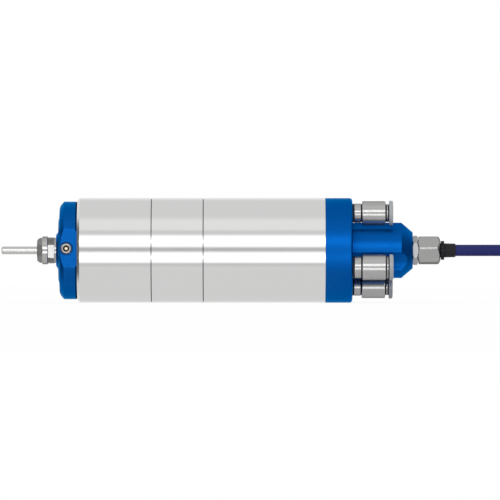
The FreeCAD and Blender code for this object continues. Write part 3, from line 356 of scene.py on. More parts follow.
bpy.ops.object.select_all(action="DESELECT")
bpy.ops.mesh.primitive_plane_add(size=FLOOR_SIZE, location=(0.0, 0.0, cad_box[0][2]))
floor = bpy.context.object
floor.name = "floor"
floor.data.materials.append(floor_material())
floor.visible_glossy = False
print("floor:", FLOOR_SIZE, "m wide")

# %% [markdown]
# Four surface effects are used by many finishes, so each is a node group that is built once. Turned metal
# has fine rings round its axis. Its pattern is read from the place along the axis and the distance from it,
# so the rings run round a cylinder and circle on an end face alike. Worn edges are found by the shape's own
# sharpness, smudges are a soft low noise, and grain is a fine one.

# %% Effects as node groups
# How far a ring's place moves with the distance from the axis, so that end faces show rings too
END_FACE_SHARE = 0.73
# Broad streaks to the millimetre, and the sharpness between which an edge wears
STREAKS = 0.4
SHARP_RANGE = (0.52, 0.58)


def effect(name, inputs, outputs):
    """An empty node group with float and vector inputs, and float outputs."""
    group = bpy.data.node_groups.new(name, "ShaderNodeTree")
    for socket_name, value in inputs.items():
        kind = "NodeSocketFloat" if isinstance(value, float) else "NodeSocketVector"
        socket = group.interface.new_socket(socket_name, in_out="INPUT", socket_type=kind)
        socket.default_value = value
    for socket_name in outputs:
        group.interface.new_socket(socket_name, in_out="OUTPUT", socket_type="NodeSocketFloat")
    entry = group.nodes.new("NodeGroupInput")
    leave = group.nodes.new("NodeGroupOutput")
    return group, entry.outputs, leave.inputs


def noise(tree, vector, scale, detail, roughness=0.5):
    inputs = {"Vector": vector, "Scale": scale, "Detail": detail, "Roughness": roughness}
    return add(tree, "TexNoise", inputs).outputs["Fac"]


def object_place(tree):
    return add(tree, "TexCoord").outputs["Object"]


def turned_rings():
    """Rings that are cut by a tool, round an axis that lies this far from the object's own."""
    axis = {"Axis": (0.0, 0.0, 0.0), "Rings": 8.0}
    group, given, result = effect("turned_rings", axis, ["Height", "Streak"])
    from_axis = vectors(group, "SUBTRACT", object_place(group), given["Axis"])
    x, y, z = add(group, "SeparateXYZ", {0: from_axis}).outputs
    outward = add(group, "CombineXYZ", {"Y": y, "Z": z}).outputs[0]
    radius = vectors(group, "LENGTH", outward, output="Value")
    round_axis = vectors(group, "NORMALIZE", outward)
    along = maths(group, "MULTIPLY", maths(group, "MULTIPLY_ADD", radius, END_FACE_SHARE, x), 1 / MM)
    for output, rings, detail in (("Height", given["Rings"], 3.0), ("Streak", STREAKS, 2.0)):
        step = add(group, "CombineXYZ", {"X": maths(group, "MULTIPLY", along, rings)}).outputs[0]
        group.links.new(noise(group, vectors(group, "ADD", step, round_axis), 1.0, detail), result[output])
    return group


def worn_edges():
    """Where the shape is sharp and some noise agrees, from 0 to 1."""
    group, given, result = effect("worn_edges", {"Amount": 0.5}, ["Mask"])
    sharp = smooth_step(group, add(group, "NewGeometry").outputs["Pointiness"], *SHARP_RANGE)
    patch = smooth_step(group, noise(group, object_place(group), 900.0, 4.0), 0.38, 0.62)
    worn = maths(group, "MULTIPLY", maths(group, "MULTIPLY", sharp, patch), given["Amount"])
    group.links.new(worn, result["Mask"])
    return group


def smudges():
    """Soft patches of handling, from 0 to 1, that many to the metre."""
    group, given, result = effect("smudges", {"Patches": 60.0}, ["Mask"])
    cloud = noise(group, object_place(group), given["Patches"], 5.0, 0.6)
    group.links.new(smooth_step(group, cloud, 0.35, 0.75), result["Mask"])
    return group


def fine_grain():
    """The even tooth of a blasted, moulded or rubber surface."""
    group, given, result = effect("fine_grain", {"Grains": 4000.0}, ["Height"])
    group.links.new(noise(group, object_place(group), given["Grains"], 2.0), result["Height"])
    return group


RINGS = turned_rings()
WEAR = worn_edges()
SMUDGES = smudges()
GRAIN = fine_grain()


def use(tree, group, **inputs):
    """One of the effects, placed in a material with its own values."""
    return add(tree, "Group", inputs, node_tree=group).outputs


print("effects:", *(group.name for group in (RINGS, WEAR, SMUDGES, GRAIN)))

# %% [markdown]
# Two kinds of finish cover the whole spindle. A turned metal is a mirror that its rings and its roughness
# blur. A moulded finish is a plain plastic or rubber with a fine tooth. Both take their colour to a worn or
# dusty one where an effect says so, and the rest is a matter of values, so each finish is one call.

# %% Finishes
finishes = {}


def new_finish(name):
    """A new material, kept under its name, as its tree and its shader."""
    material = bpy.data.materials.new(name)
    material.use_nodes = True
    finishes[name] = material
    return material.node_tree, material.node_tree.nodes["Principled BSDF"]


def blended(tree, mask, colour, other):
    """From one colour to another by a mask."""
    ends = {"Factor": mask, 6: (*colour, 1.0), 7: (*other, 1.0)}
    return add(tree, "Mix", ends, data_type="RGBA").outputs[2]


def relief(tree, height, depth):
    """A normal that bends with a height pattern, so many millimetres deep."""
    return add(tree, "Bump", {"Height": height, "Strength": 1.0, "Distance": depth * MM}).outputs[0]


def turned_metal(name, colour, roughness, rings=8.0, depth=0.0006, worn=None, wear=0.3,
                 slant=(1.0, 1.0, 1.0), axis=(0.0, 0.0), haze=0.0):
    """A metal with turned rings. depth is how strongly they bend the light, worn the bare edge's colour,
    slant what is left of the reflection where the surface turns away, axis the (y, z) that the rings go
    round, and haze the part of the light that a satin surface scatters."""
    tree, shader = new_finish(name)
    ring = use(tree, RINGS, Axis=(0.0, axis[0] * MM, axis[1] * MM), Rings=rings)
    smudge = use(tree, SMUDGES, Patches=55.0)["Mask"]
    edge = use(tree, WEAR, Amount=wear)["Mask"]
    streaked = maths(tree, "MULTIPLY_ADD", ring["Streak"], 0.25 * roughness, 0.85 * roughness)
    fill(tree, shader, {
        "Metallic": 1.0 - haze, "Specular Tint": (*slant, 1.0),
        "Base Color": blended(tree, edge, colour, worn or colour),
        "Roughness": maths(tree, "MULTIPLY_ADD", smudge, 0.15 * roughness, streaked),
        "Normal": relief(tree, ring["Height"], depth)})


def moulded(name, colour, roughness, grains=3500.0, depth=0.01, dusty=None, shine=0.5):
    """A plastic or rubber with a fine tooth, and a little pale dust in patches."""
    tree, shader = new_finish(name)
    smudge = use(tree, SMUDGES, Patches=90.0)["Mask"]
    faint = maths(tree, "MULTIPLY_ADD", smudge, 0.18, use(tree, WEAR, Amount=0.35)["Mask"])
    pale = dusty or tuple(min(1.0, 1.6 * part + 0.01) for part in colour)
    fill(tree, shader, {
        "Specular IOR Level": shine, "Base Color": blended(tree, faint, colour, pale),
        "Roughness": maths(tree, "MULTIPLY_ADD", smudge, 0.12, roughness),
        "Normal": relief(tree, use(tree, GRAIN, Grains=grains)["Height"], depth)})


DULL = (0.30, 0.30, 0.30)
NICKEL = {"colour": (0.44, 0.438, 0.435), "roughness": 0.21, "rings": 6.0, "slant": DULL, "haze": 0.22}
turned_metal("anodised_blue", (0.0015, 0.084, 0.345), 0.37, rings=5.0, depth=0.0012, worn=(0.02, 0.16, 0.42),
             wear=0.12, slant=(0.25, 0.70, 1.0))
# A darker copy of the anodised blue, painted as the shade in the gap between the front cap and the housing
turned_metal("painted_shade_blue", (0.0008, 0.018, 0.085), 0.45, slant=(0.02, 0.10, 0.30))
turned_metal("stainless", (0.72, 0.72, 0.715), 0.115, rings=7.0, depth=0.00025, slant=(0.95, 0.95, 0.95))
turned_metal("bright_nickel", **NICKEL)
turned_metal("gland_nickel", (0.39, 0.388, 0.385), 0.28, rings=6.0, depth=0.0004, slant=DULL)
turned_metal("base_nickel", (0.44, 0.442, 0.46), 0.30, rings=6.0, depth=0.0004, slant=(0.1, 0.1, 0.1))
# A darker copy of the nickel for the collet nut's six-sided front: painted shade
turned_metal("painted_shade_nut_nickel", (0.23, 0.228, 0.226), 0.15, depth=0.0003)
turned_metal("collar_nickel", (0.46, 0.458, 0.455), 0.16, depth=0.0003, slant=DULL)
turned_metal("dark_steel", (0.17, 0.17, 0.172), 0.24, rings=10.0)
turned_metal("milled_flat", (0.58, 0.58, 0.56), 0.34, rings=10.0, depth=0.0004)
turned_metal("pale_brass", (0.78, 0.64, 0.46), 0.25, rings=10.0, depth=0.0004)
turned_metal("ground_steel", (0.55, 0.55, 0.54), 0.22, rings=10.0)
turned_metal("black_steel", (0.035, 0.035, 0.038), 0.42, worn=(0.25, 0.25, 0.25), wear=0.6)
turned_metal("bearing_bronze", (0.50, 0.29, 0.11), 0.30)
turned_metal("bare_aluminium", (0.62, 0.63, 0.64), 0.26)
turned_metal("gold_pins", (0.80, 0.55, 0.18), 0.18)
turned_metal("plug_shell", (0.50, 0.50, 0.49), 0.30)
moulded("grey_plastic", (0.41, 0.43, 0.45), 0.38, depth=0.004)
moulded("black_plastic", (0.018, 0.018, 0.020), 0.42)
moulded("black_rubber", (0.010, 0.010, 0.012), 0.60, depth=0.012, shine=0.25)
moulded("cord_jacket", (0.014, 0.019, 0.135), 0.60, grains=1800.0, dusty=(0.03, 0.036, 0.17), shine=0.22)
print("finishes:", len(finishes))

# %% [markdown]
# The inner pieces, such as the shaft's bearings, the turbine wheel and the seals, have the right shape
# already. Their CAD meshes are loose triangles with flat shading, so a weld joins the triangles and an edge
# split keeps the real edges crisp, and each takes the finish that the record names for it.

# %% The inner pieces
SPLIT_ANGLE = math.radians(32.0)
WELD_DISTANCE = 0.002 * MM
slot_of = {part["node"]: part["material_slot"] for part in frame["record"]["subparts"]}
for node_name, node in frame["nodes"].items():
    finish = finishes[slot_of[node_name]]
    for material_slot in node.material_slots:
        material_slot.material = finish
    weld = node.modifiers.new("weld", "WELD")
    weld.merge_threshold = WELD_DISTANCE
    split = node.modifiers.new("edges", "EDGE_SPLIT")
    split.split_angle = SPLIT_ANGLE
    for polygon in node.data.polygons:
        polygon.use_smooth = True
print("CAD meshes:", len(frame["nodes"]), "with a finish")

# %% [markdown]
# Most of the spindle is turned, so one helper does what a lathe does. It starts from a plane that is merged
# to a single vertex, extrudes that along half of the section, and spins the line round the axis. Adding a
# cylinder for each step and joining them would leave faces inside. The other helpers drill and cut with the
# Boolean modifier, and finish a piece: a small bevel on its sharp edges, smooth shading by angle, and
# normals weighted by area so that broad faces stay flat.

# %% Modelling helpers
SPIN_STEPS = 128
WIDE_STEPS = 192
SMOOTH_ANGLE = math.radians(40.0)


def deselect():
    if bpy.context.object and bpy.context.object.mode != "OBJECT":
        bpy.ops.object.mode_set(mode="OBJECT")
    bpy.ops.object.select_all(action="DESELECT")


def choose(piece):
    """Make a piece the one that the next operators act on."""
    deselect()
    piece.select_set(True)
    bpy.context.view_layer.objects.active = piece


def turned(name, outline, steps=SPIN_STEPS):
    """A solid turned about the X axis from (x, radius) corners in millimetres. An outline that starts off the
    axis is closed by an edge from its last corner to its first."""
    deselect()
    bpy.ops.mesh.primitive_plane_add(size=MM)
    piece = bpy.context.object
    piece.name = name
    piece.data.name = name
    bpy.ops.object.mode_set(mode="EDIT")
    bpy.ops.mesh.merge(type="CENTER")
    bpy.ops.transform.translate(value=(outline[0][0] * MM, 0.0, outline[0][1] * MM))
    for (x, radius), (next_x, next_radius) in zip(outline, outline[1:]):
        step = {"value": ((next_x - x) * MM, 0.0, (next_radius - radius) * MM)}
        bpy.ops.mesh.extrude_region_move(TRANSFORM_OT_translate=step)
    if outline[0][1] > 0:
        mesh = bmesh.from_edit_mesh(piece.data)
        mesh.verts.ensure_lookup_table()
        mesh.verts[0].select_set(True)
        mesh.verts[-1].select_set(True)
        bmesh.update_edit_mesh(piece.data)
        bpy.ops.mesh.edge_face_add()
    bpy.ops.mesh.select_all(action="SELECT")
    bpy.ops.mesh.spin(steps=steps, angle=2 * math.pi, center=(0, 0, 0), axis=(1, 0, 0))
    bpy.ops.mesh.select_all(action="SELECT")
    bpy.ops.mesh.remove_doubles(threshold=0.001 * MM)
    bpy.ops.mesh.normals_make_consistent(inside=False)
    bpy.ops.object.mode_set(mode="OBJECT")
    return piece


def arc(centre, radius, start, end, steps):
    """Outline corners along an arc from one angle to another, in degrees, where 90 points outwards."""
    corners = []
    for number in range(steps + 1):
        angle = math.radians(start + (end - start) * number / steps)
        corners.append((centre[0] + radius * math.cos(angle), centre[1] + radius * math.sin(angle)))
    return corners


def around(radius, angle):
    """The (y, z) of a point at this radius from the axis and angle up from the side that faces the camera."""
    upwards = math.radians(angle)
    return (-radius * math.cos(upwards), radius * math.sin(upwards))


def places(count, radius, start=0.0):
    """The (y, z) of places that are evenly spaced round the axis."""
    return [around(radius, start + 360.0 * number / count) for number in range(count)]


def placed(piece, place=(0.0, 0.0, 0.0), angles=(0.0, 0.0, 0.0)):
    """Turn a piece's mesh by degrees, then move it by millimetres. The object itself stays at the origin."""
    piece.rotation_euler = [math.radians(angle) for angle in angles]
    piece.location = [part * MM for part in place]
    choose(piece)
    bpy.ops.object.transform_apply(location=True, rotation=True, scale=True)
    return piece


def rod(x, end_x, radius, centre=(0.0, 0.0), sides=48):
    """A cylinder along the axis, or beside it, as a cutter or a start."""
    deselect()
    bpy.ops.mesh.primitive_cylinder_add(vertices=sides, radius=radius * MM, depth=(end_x - x) * MM)
    return placed(bpy.context.object, ((x + end_x) / 2, *centre), (0.0, 90.0, 0.0))


def hexagon(x, end_x, flats, corner_angle):
    """A six-sided bar with one corner at this angle up from the side that faces the camera."""
    return placed(rod(x, end_x, flats / math.sqrt(3), sides=6), angles=(-corner_angle, 0.0, 0.0))


def block(centre, size):
    """A block round its centre, as a cutter or a start."""
    deselect()
    bpy.ops.mesh.primitive_cube_add(size=MM, scale=size)
    return placed(bpy.context.object, centre)


def joined(pieces, name="cutters"):
    """Several pieces as one object."""
    deselect()
    for piece in pieces:
        piece.select_set(True)
    bpy.context.view_layer.objects.active = pieces[0]
    bpy.ops.object.join()
    pieces[0].name = name
    return pieces[0]


def modify(piece, kind, **settings):
    """Add a modifier with these settings to a piece, and apply it."""
    modifier = piece.modifiers.new(kind.lower(), kind)
    for key, value in settings.items():
        setattr(modifier, key, value)
    choose(piece)
    bpy.ops.object.modifier_apply(modifier=modifier.name)


def combine(piece, cutter, operation="DIFFERENCE"):
    """Cut the other shape out of a piece, or keep what both share, and drop the other shape."""
    modify(piece, "BOOLEAN", operation=operation, solver="EXACT", object=cutter)
    bpy.data.objects.remove(cutter)


def drill(piece, centres, *holes):
    """Cut holes (from, to, radius, sides) along the axis at each (y, z)."""
    for centre in centres:
        for x, end_x, radius, sides in holes:
            combine(piece, rod(x, end_x, radius, centre, sides))


def copied(piece):
    """A copy of a piece with a mesh of its own."""
    twin = piece.copy()
    twin.data = piece.data.copy()
    bpy.context.scene.collection.objects.link(twin)
    return twin


def stepped(*values):
    """Outline corners from an x, a radius, an x, a radius and so on, with a right angle at each."""
    corners = []
    for number, (value, after) in enumerate(zip(values, values[1:])):
        corner = (after, value) if number % 2 else (value, after)
        if corner not in corners[-1:]:
            corners.append(corner)
    return corners


def between(start, end, inner=0.0, outer=math.inf, centre=(0.0, 0.0)):
    """A test for faces that lie between two places along the axis and two distances from it."""
    def picks(middle, normal):
        return start < middle.x < end and inner < (middle.yz - Vector(centre)).length < outer
    return picks


BEVEL = {"segments": 2, "limit_method": "ANGLE", "angle_limit": math.radians(30.0), "use_clamp_overlap": True}


def finished(piece, finish, *nodes, body="root", bevel=0.08, slot=None, parts=()):
    """Round a piece's sharp edges, shade it, give it its finish, and set it on its body for the nodes it
    replaces. parts are more finishes, each with a test that picks faces by their middle and normal."""
    if bevel:
        modify(piece, "BEVEL", width=bevel * MM, **BEVEL)
    choose(piece)
    bpy.ops.object.shade_smooth_by_angle(angle=SMOOTH_ANGLE)
    modify(piece, "WEIGHTED_NORMAL", keep_sharp=True)
    piece.data.materials.clear()
    piece.data.materials.append(finishes[finish])
    for index, (part_finish, picks) in enumerate(parts, start=1):
        piece.data.materials.append(finishes[part_finish])
        for face in piece.data.polygons:
            if picks(face.center / MM, face.normal):
                face.material_index = index
    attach(piece, body)
    if nodes:
        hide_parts(*nodes)
    print(piece.name, len(piece.data.polygons), "faces")
    return piece


print("turned shapes have", SPIN_STEPS, "or", WIDE_STEPS, "steps round")

# %% [markdown]
# The housing is three turned sections of stainless steel. Each seam between them shows as a fine dark line:
# a step at both edges leaves a groove half a millimetre wide, and the steel in that groove is painted black
# as the joint's shade and the oil and dust that gather there. A groove keeps that painted line sharp from any
# side. The front edge has a wide chamfer. Every section is a closed shell with its real bores, and the tie
# screws run through drilled holes.

# %% The housing
HOUSING_RADIUS = high("middle_housing").z
HOUSING_EDGE = 1.5
FRONT_X = low("front_housing").x
BAND_END_X = FRONT_X + 0.40
STEP_X = BAND_END_X + 0.02
SKIRT_RADIUS = 25.5
SEAM_EDGE = 0.23
SEAM_DEPTH = 0.5
FRONT_SEAM_X, REAR_SEAM_X = low("middle_housing").x, high("middle_housing").x
REAR_X = high("rear_housing").x
CHAMBER_RADIUS = 22.0
SPIGOT_RADIUS = CHAMBER_RADIUS - 0.03
BUSH_BORE = 16.03
BUSH_STOP = 13.0
SCREW_RADIUS = 1.5
HEAD_RADIUS = 2.75
HEAD_LENGTH = 3.0
SCREW_HOLE = SCREW_RADIUS + 0.1
HEAD_HOLE = HEAD_RADIUS + 0.2
SCREW_SIDES = 24
HEAD_SIDES = 48
TIE_CENTRES = places(4, HOUSING_RADIUS - 5.0, 45.0)


def in_seam(middle, normal):
    """Whether a face lies in the small groove that each seam leaves.
    Its steel is painted black, for the joint's shade and the oil and dust in it.
    """
    from_seam = min(abs(middle.x - FRONT_SEAM_X), abs(middle.x - REAR_SEAM_X))
    depth = HOUSING_RADIUS - middle.yz.length
    return from_seam < SEAM_EDGE + 0.02 and 0.06 < depth < SEAM_DEPTH + 0.1


def seam_step(x, way):
    """The corners of a section's step at a seam, on the side of the seam that way points to."""
    floor_radius = HOUSING_RADIUS - SEAM_DEPTH
    edge_x = x + way * SEAM_EDGE
    return [(x, floor_radius), (edge_x, floor_radius), (edge_x, HOUSING_RADIUS)]


def section(name, node, outline, *holes):
    """One section of the housing, with holes (from, to, radius, sides) for the tie screws."""
    piece = turned(name, outline, steps=WIDE_STEPS)
    drill(piece, TIE_CENTRES, *holes)
    # The seam grooves take the black steel: painted shade, with the oil and dust of the joint
    return finished(piece, "stainless", node, parts=[("black_steel", in_seam)])


bush_x = high("front_journal_bush").x
end_x = high("front_housing").x
section(
    "front_section", "front_housing",
    stepped(FRONT_X, 20.03, FRONT_X + 4.5, BUSH_BORE, bush_x, BUSH_STOP, end_x, SPIGOT_RADIUS, FRONT_SEAM_X)
    + seam_step(FRONT_SEAM_X, -1)
    + [(BAND_END_X + HOUSING_EDGE, HOUSING_RADIUS), (STEP_X, HOUSING_RADIUS - HOUSING_EDGE),
       (STEP_X, SKIRT_RADIUS - 0.05), (FRONT_X, SKIRT_RADIUS - 0.05)],
    (FRONT_X - 1, FRONT_X + 3.5, HEAD_HOLE, HEAD_SIDES), (FRONT_X, FRONT_SEAM_X + 1, SCREW_HOLE, SCREW_SIDES))

section(
    "middle_section", "middle_housing",
    [(FRONT_SEAM_X, CHAMBER_RADIUS), (REAR_SEAM_X, CHAMBER_RADIUS)]
    + seam_step(REAR_SEAM_X, -1) + seam_step(FRONT_SEAM_X, 1)[::-1],
    (FRONT_SEAM_X - 1, REAR_SEAM_X + 1, SCREW_HOLE, SCREW_SIDES))

x = low("rear_housing").x
bush_x, bush_end_x = low("rear_journal_bush").x, high("rear_journal_bush").x
section(
    "rear_section", "rear_housing",
    stepped(x, BUSH_STOP, bush_x, BUSH_BORE, bush_end_x, 22.53, REAR_X, HOUSING_RADIUS)
    + seam_step(REAR_SEAM_X, 1)[::-1] + [(REAR_SEAM_X, SPIGOT_RADIUS), (x, SPIGOT_RADIUS)],
    (REAR_SEAM_X - 1, high("tie_screws").x + 1, SCREW_HOLE, SCREW_SIDES))

# %% [markdown]
# A cap screw is a turned head and shank with a six-sided socket. It is modelled once, with its seat at the
# origin, and copied round the cap. Both caps use it.

# %% Socket screws


def socket_screw(name, shank_length):
    """One screw with its seat at the origin and its head towards +X."""
    screw = turned(name, [
        (-shank_length, 0.0), (-shank_length, SCREW_RADIUS - 0.3), (-shank_length + 0.3, SCREW_RADIUS),
        (0.0, SCREW_RADIUS), (0.0, HEAD_RADIUS), (HEAD_LENGTH - 0.3, HEAD_RADIUS),
        (HEAD_LENGTH, HEAD_RADIUS - 0.3), (HEAD_LENGTH, 0.0)], steps=48)
    combine(screw, hexagon(HEAD_LENGTH / 2, HEAD_LENGTH + 1, 2.5, 30.0))
    return screw


def screw_ring(name, node, seat_x, facing, centres, shank_length):
    """The screws of a cap as one piece, each facing so many degrees from +X."""
    first = placed(socket_screw(name, shank_length), angles=(0.0, 0.0, facing))
    ring = [placed(copied(first), (seat_x, *centre)) for centre in centres]
    bpy.data.objects.remove(first)
    return finished(joined(ring, name), "black_steel", node)


CAP_SEAT_X = FRONT_X - 6.0
REAR_SEAT_X = high("rear_cap_screws").x - HEAD_LENGTH
CAP_SCREWS = places(4, 23.0, 22.5)
REAR_SCREWS = places(4, 25.5, 21.5)
screw_ring("front_cap_screws", "cap_screws", CAP_SEAT_X, 180.0, CAP_SCREWS, 12.0)
screw_ring("rear_ring_screws", "rear_cap_screws", REAR_SEAT_X, 0.0, REAR_SCREWS, 21.0)

# %% [markdown]
# The front cap is turned from aluminium with a raised disc and a boss round the shaft, and its rim is
# broken by a wide crowned edge. One flat is milled on the side that faces the camera. A bisect with a
# filled cut makes it, because only the rim reaches past that plane. The pockets are drilled afterwards.

# %% The front cap
CAP_RADIUS = 28.0
CAP_FACE_RADIUS = 25.6
CAP_FACE_X = FRONT_X - 9.2
CAP_RIM_X = FRONT_X - 7.1
FLAT_DISTANCE = 25.9
FLAT_ANGLE = 2.4
PLUG_X = CAP_FACE_X + 3.6
PLUG_SEAT_RADIUS = 3.5
PLUG_SEAT_DEPTH = 0.5
PLUG_RADIUS = 3.0
PLUG_LENGTH = 6.0
CROWN = 0.12
BAND_RADIUS = CAP_RADIUS - 0.22
BAND_X = FRONT_X - 0.45


def crowned(start, end, rise, steps=4):
    """Outline corners from start to end along a low arch."""
    corners = []
    length = math.dist(start, end)
    for number in range(steps + 1):
        share = number / steps
        swell = 4 * rise * share * (1 - share) / length
        x = start[0] + share * (end[0] - start[0]) - swell * (end[1] - start[1])
        radius = start[1] + share * (end[1] - start[1]) + swell * (end[0] - start[0])
        corners.append((x, radius))
    return corners


def on_flat(piece, distance=FLAT_DISTANCE):
    """Stand a piece that is modelled along +X at the origin on the cap's flat, pointing outwards."""
    placed(piece, (PLUG_X, -distance, 0.0), (0.0, 0.0, -90.0))
    return placed(piece, angles=(-FLAT_ANGLE, 0.0, 0.0))


cap = turned(
    "front_cap_blue", crowned((CAP_FACE_X, CAP_FACE_RADIUS), (CAP_RIM_X, CAP_RADIUS), CROWN)
    + stepped(BAND_X, CAP_RADIUS, BAND_X, BAND_RADIUS, BAND_END_X, SKIRT_RADIUS, FRONT_X, 20.0, FRONT_X + 4.5,
              12.0, FRONT_X - 3.0, 7.15, FRONT_X - 11.8, 8.9)
    + [(FRONT_X - 10.65, 10.55), (FRONT_X - 10.38, 17.6), (FRONT_X - 9.95, 18.6), (FRONT_X - 9.7, 24.2)],
    steps=WIDE_STEPS)
bpy.ops.object.mode_set(mode="EDIT")
bpy.ops.mesh.select_all(action="SELECT")
out_y, out_z = around(1.0, FLAT_ANGLE)
on_plane = (0.0, out_y * FLAT_DISTANCE * MM, out_z * FLAT_DISTANCE * MM)
bpy.ops.mesh.bisect(plane_co=on_plane, plane_no=(0.0, out_y, out_z), use_fill=True, clear_outer=True)
bpy.ops.object.mode_set(mode="OBJECT")
drill(cap, CAP_SCREWS, (FRONT_X - 13, CAP_SEAT_X, HEAD_HOLE, HEAD_SIDES),
      (CAP_SEAT_X - 1, FRONT_X + 1, SCREW_HOLE, SCREW_SIDES))
mouth = PLUG_SEAT_RADIUS + 0.4
seat = turned("seat", [(-PLUG_SEAT_DEPTH, 0.0), (-PLUG_SEAT_DEPTH, PLUG_SEAT_RADIUS), (0.0, mouth),
                       (3.0, mouth), (3.0, 0.0)], steps=64)
combine(cap, on_flat(seat))
combine(cap, on_flat(rod(-PLUG_SEAT_DEPTH - PLUG_LENGTH, 0.0, PLUG_RADIUS + 0.03, sides=64)))
# The cap's back step next to the housing takes the darker blue as painted shade
finished(cap, "anodised_blue", "front_cap", bevel=0.12,
         parts=[("painted_shade_blue", between(BAND_X - 0.02, math.inf, inner=26.9))])

# %% [markdown]
# The screw in the flat closes a drilled air way. It lies in a conical seat on a washer that is painted dark
# as the seat's shadow. Its rim is bright, its socket is deep with walls painted dark as shade, and a pale
# brass pin stands in the middle, so that only a key with a hole fits. A plain disc with a painted hole would
# look flat here, because the light falls into the socket.

# %% The cap's plug
RIM_OUTER = 2.62
WASHER_RADIUS = 3.3
RIM_INNER = 1.8
PIN_RADIUS = 1.1
PIN_X = -0.8


def socket_cutter():
    """Six corners for the key, which reach a little past the round socket and leave the pin in its middle."""
    key = hexagon(-1.6, 1.0, 2 * RIM_INNER - 0.35, 30.0)
    combine(key, rod(-2.0, 2.0, PIN_RADIUS + 0.01))
    return key


PLUG_AXIS = Vector((0.0, *around(1.0, FLAT_ANGLE)))


def off_centre(point):
    """How far a point lies from the screw's own axis."""
    beside = point - Vector((PLUG_X, 0.0, 0.0))
    return (beside - PLUG_AXIS * beside.dot(PLUG_AXIS)).length


# The socket's walls and the washer round the rim take the black steel as painted shade.
def in_shade(middle, normal):
    return PIN_RADIUS < off_centre(middle) < RIM_INNER + 0.08 or off_centre(middle) > RIM_OUTER + 0.1


def on_pin(middle, normal):
    return off_centre(middle) < PIN_RADIUS


screw = turned("flat_plug_screw", [
    (-PLUG_LENGTH, 0.0), (-PLUG_LENGTH, PLUG_RADIUS - 0.4), (-PLUG_LENGTH + 0.4, PLUG_RADIUS),
    (-0.09, PLUG_RADIUS), (-0.09, WASHER_RADIUS), (-0.03, WASHER_RADIUS), (-0.03, RIM_OUTER + 0.08),
    (0.12, RIM_OUTER), (0.12, 2.05), (-0.2, RIM_INNER), (-2.2, RIM_INNER), (-2.2, PIN_RADIUS),
    (PIN_X, PIN_RADIUS)]
    + arc((PIN_X - PIN_RADIUS, 0.0), 1.414 * PIN_RADIUS, 40.0, 0.0, 4), steps=64)
combine(screw, socket_cutter())
on_flat(screw, FLAT_DISTANCE - PLUG_SEAT_DEPTH + 0.1)
finished(screw, "bright_nickel", "cap_plug", bevel=0.05,
         parts=[("black_steel", in_shade), ("pale_brass", on_pin)])

# %% [markdown]
# The rear cap is one blue piece: a ring as wide as the housing, and a hub with three round scallops that
# make room for the fittings. The scallops are what a ball of the fittings' size leaves along the hub, so
# three cylinders cut them, and the cone at the hub's end turns their ends to arches by itself.

# %% The rear cap
RING_X = REAR_X + 15.5
RING_EDGE = 1.6
HUB_RADIUS = 15.9
CONE_X = RING_X + 28.1
HUB_END_X = high("rear_cap").x
HUB_END_RADIUS = 10.4
SCALLOP_RADIUS = 9.7
PORT_RADIUS = 4.83
SENSOR_BORE = 6.03
LEAD_BORE = 4.5
LEAD_BORE_X = 90.0
FITTING_PITCH = 22.8
VENTS = [around(18.6, angle) for angle in (140.0, 157.0, 174.0)]
SMALL = {"body": 6.85, "neck": 5.45, "collar": 7.1, "tube": 3.0, "guide": 5.2}
LARGE = {"body": 7.3, "neck": 6.2, "collar": 7.4, "tube": 4.0, "guide": 6.5}
FITTINGS = {
    "bearing_air": {"centre": around(FITTING_PITCH, 69.5), **SMALL},
    "drive_air": {"centre": around(FITTING_PITCH, -25.0), **LARGE},
    "purge_air": {"centre": around(FITTING_PITCH, -115.4), **SMALL},
}

x = low("rear_cap").x
cavity_x = REAR_X + 7.0
cap = turned(
    "rear_cap_blue", stepped(x, 20.0, x, 22.5, REAR_X, HOUSING_RADIUS - 0.12)
    + [(REAR_X + 0.12, HOUSING_RADIUS)]
    + arc((RING_X - RING_EDGE, HOUSING_RADIUS - RING_EDGE), RING_EDGE, 90.0, 0.0, 6)
    + [(RING_X, HUB_RADIUS), (CONE_X, HUB_RADIUS), (HUB_END_X, HUB_END_RADIUS)]
    + stepped(HUB_END_X, 7.26, HUB_END_X - 0.9, SENSOR_BORE, HUB_END_X - 9.6, LEAD_BORE, LEAD_BORE_X,
              SENSOR_BORE, x, 9.5, cavity_x, 20.0), steps=WIDE_STEPS)
ports = [fitting["centre"] for fitting in FITTINGS.values()]
drill(cap, ports, (RING_X, HUB_END_X + 5, SCALLOP_RADIUS, 128), (RING_X - 6, RING_X + 1, PORT_RADIUS, 48))
drill(cap, VENTS, (cavity_x - 1, RING_X + 1, 2.0, 48))
drill(cap, REAR_SCREWS, (REAR_SEAT_X, RING_X + 1, HEAD_HOLE, HEAD_SIDES),
      (REAR_X - 1, REAR_SEAT_X + 1, SCREW_HOLE, SCREW_SIDES))
finished(cap, "anodised_blue", "rear_cap", bevel=0.15)

# %% [markdown]
# A push-in fitting is a nickel-plated body on a short neck, a black sealing washer under it, a dark sleeve
# with a bright snap ring in its mouth, and a pale ring, hollow behind, that is pressed to let the tube go.
# The three differ only in their sizes, so one function makes each on the spindle's axis, and the mesh is
# then moved to its port. The turning marks go round each fitting's own axis, so each has its own nickel.

# %% The push-in fittings
PORT_X = RING_X - 6.0
NECK_X = RING_X + 0.9
NECK_END_X = NECK_X + 3.9
BODY_X = NECK_END_X + 0.7
BODY_END_X = BODY_X + 13.5
CARTRIDGE_X = 96.4
STOP_X = CARTRIDGE_X - 7.0
COLLAR_X = BODY_END_X - 5.0
FLANGE_X = BODY_END_X + 2.0
FLANGE_END_X = FLANGE_X + 2.3
SNAP_RING_X = BODY_END_X + 0.7
SNAP_RING_END_X = SNAP_RING_X + 0.6


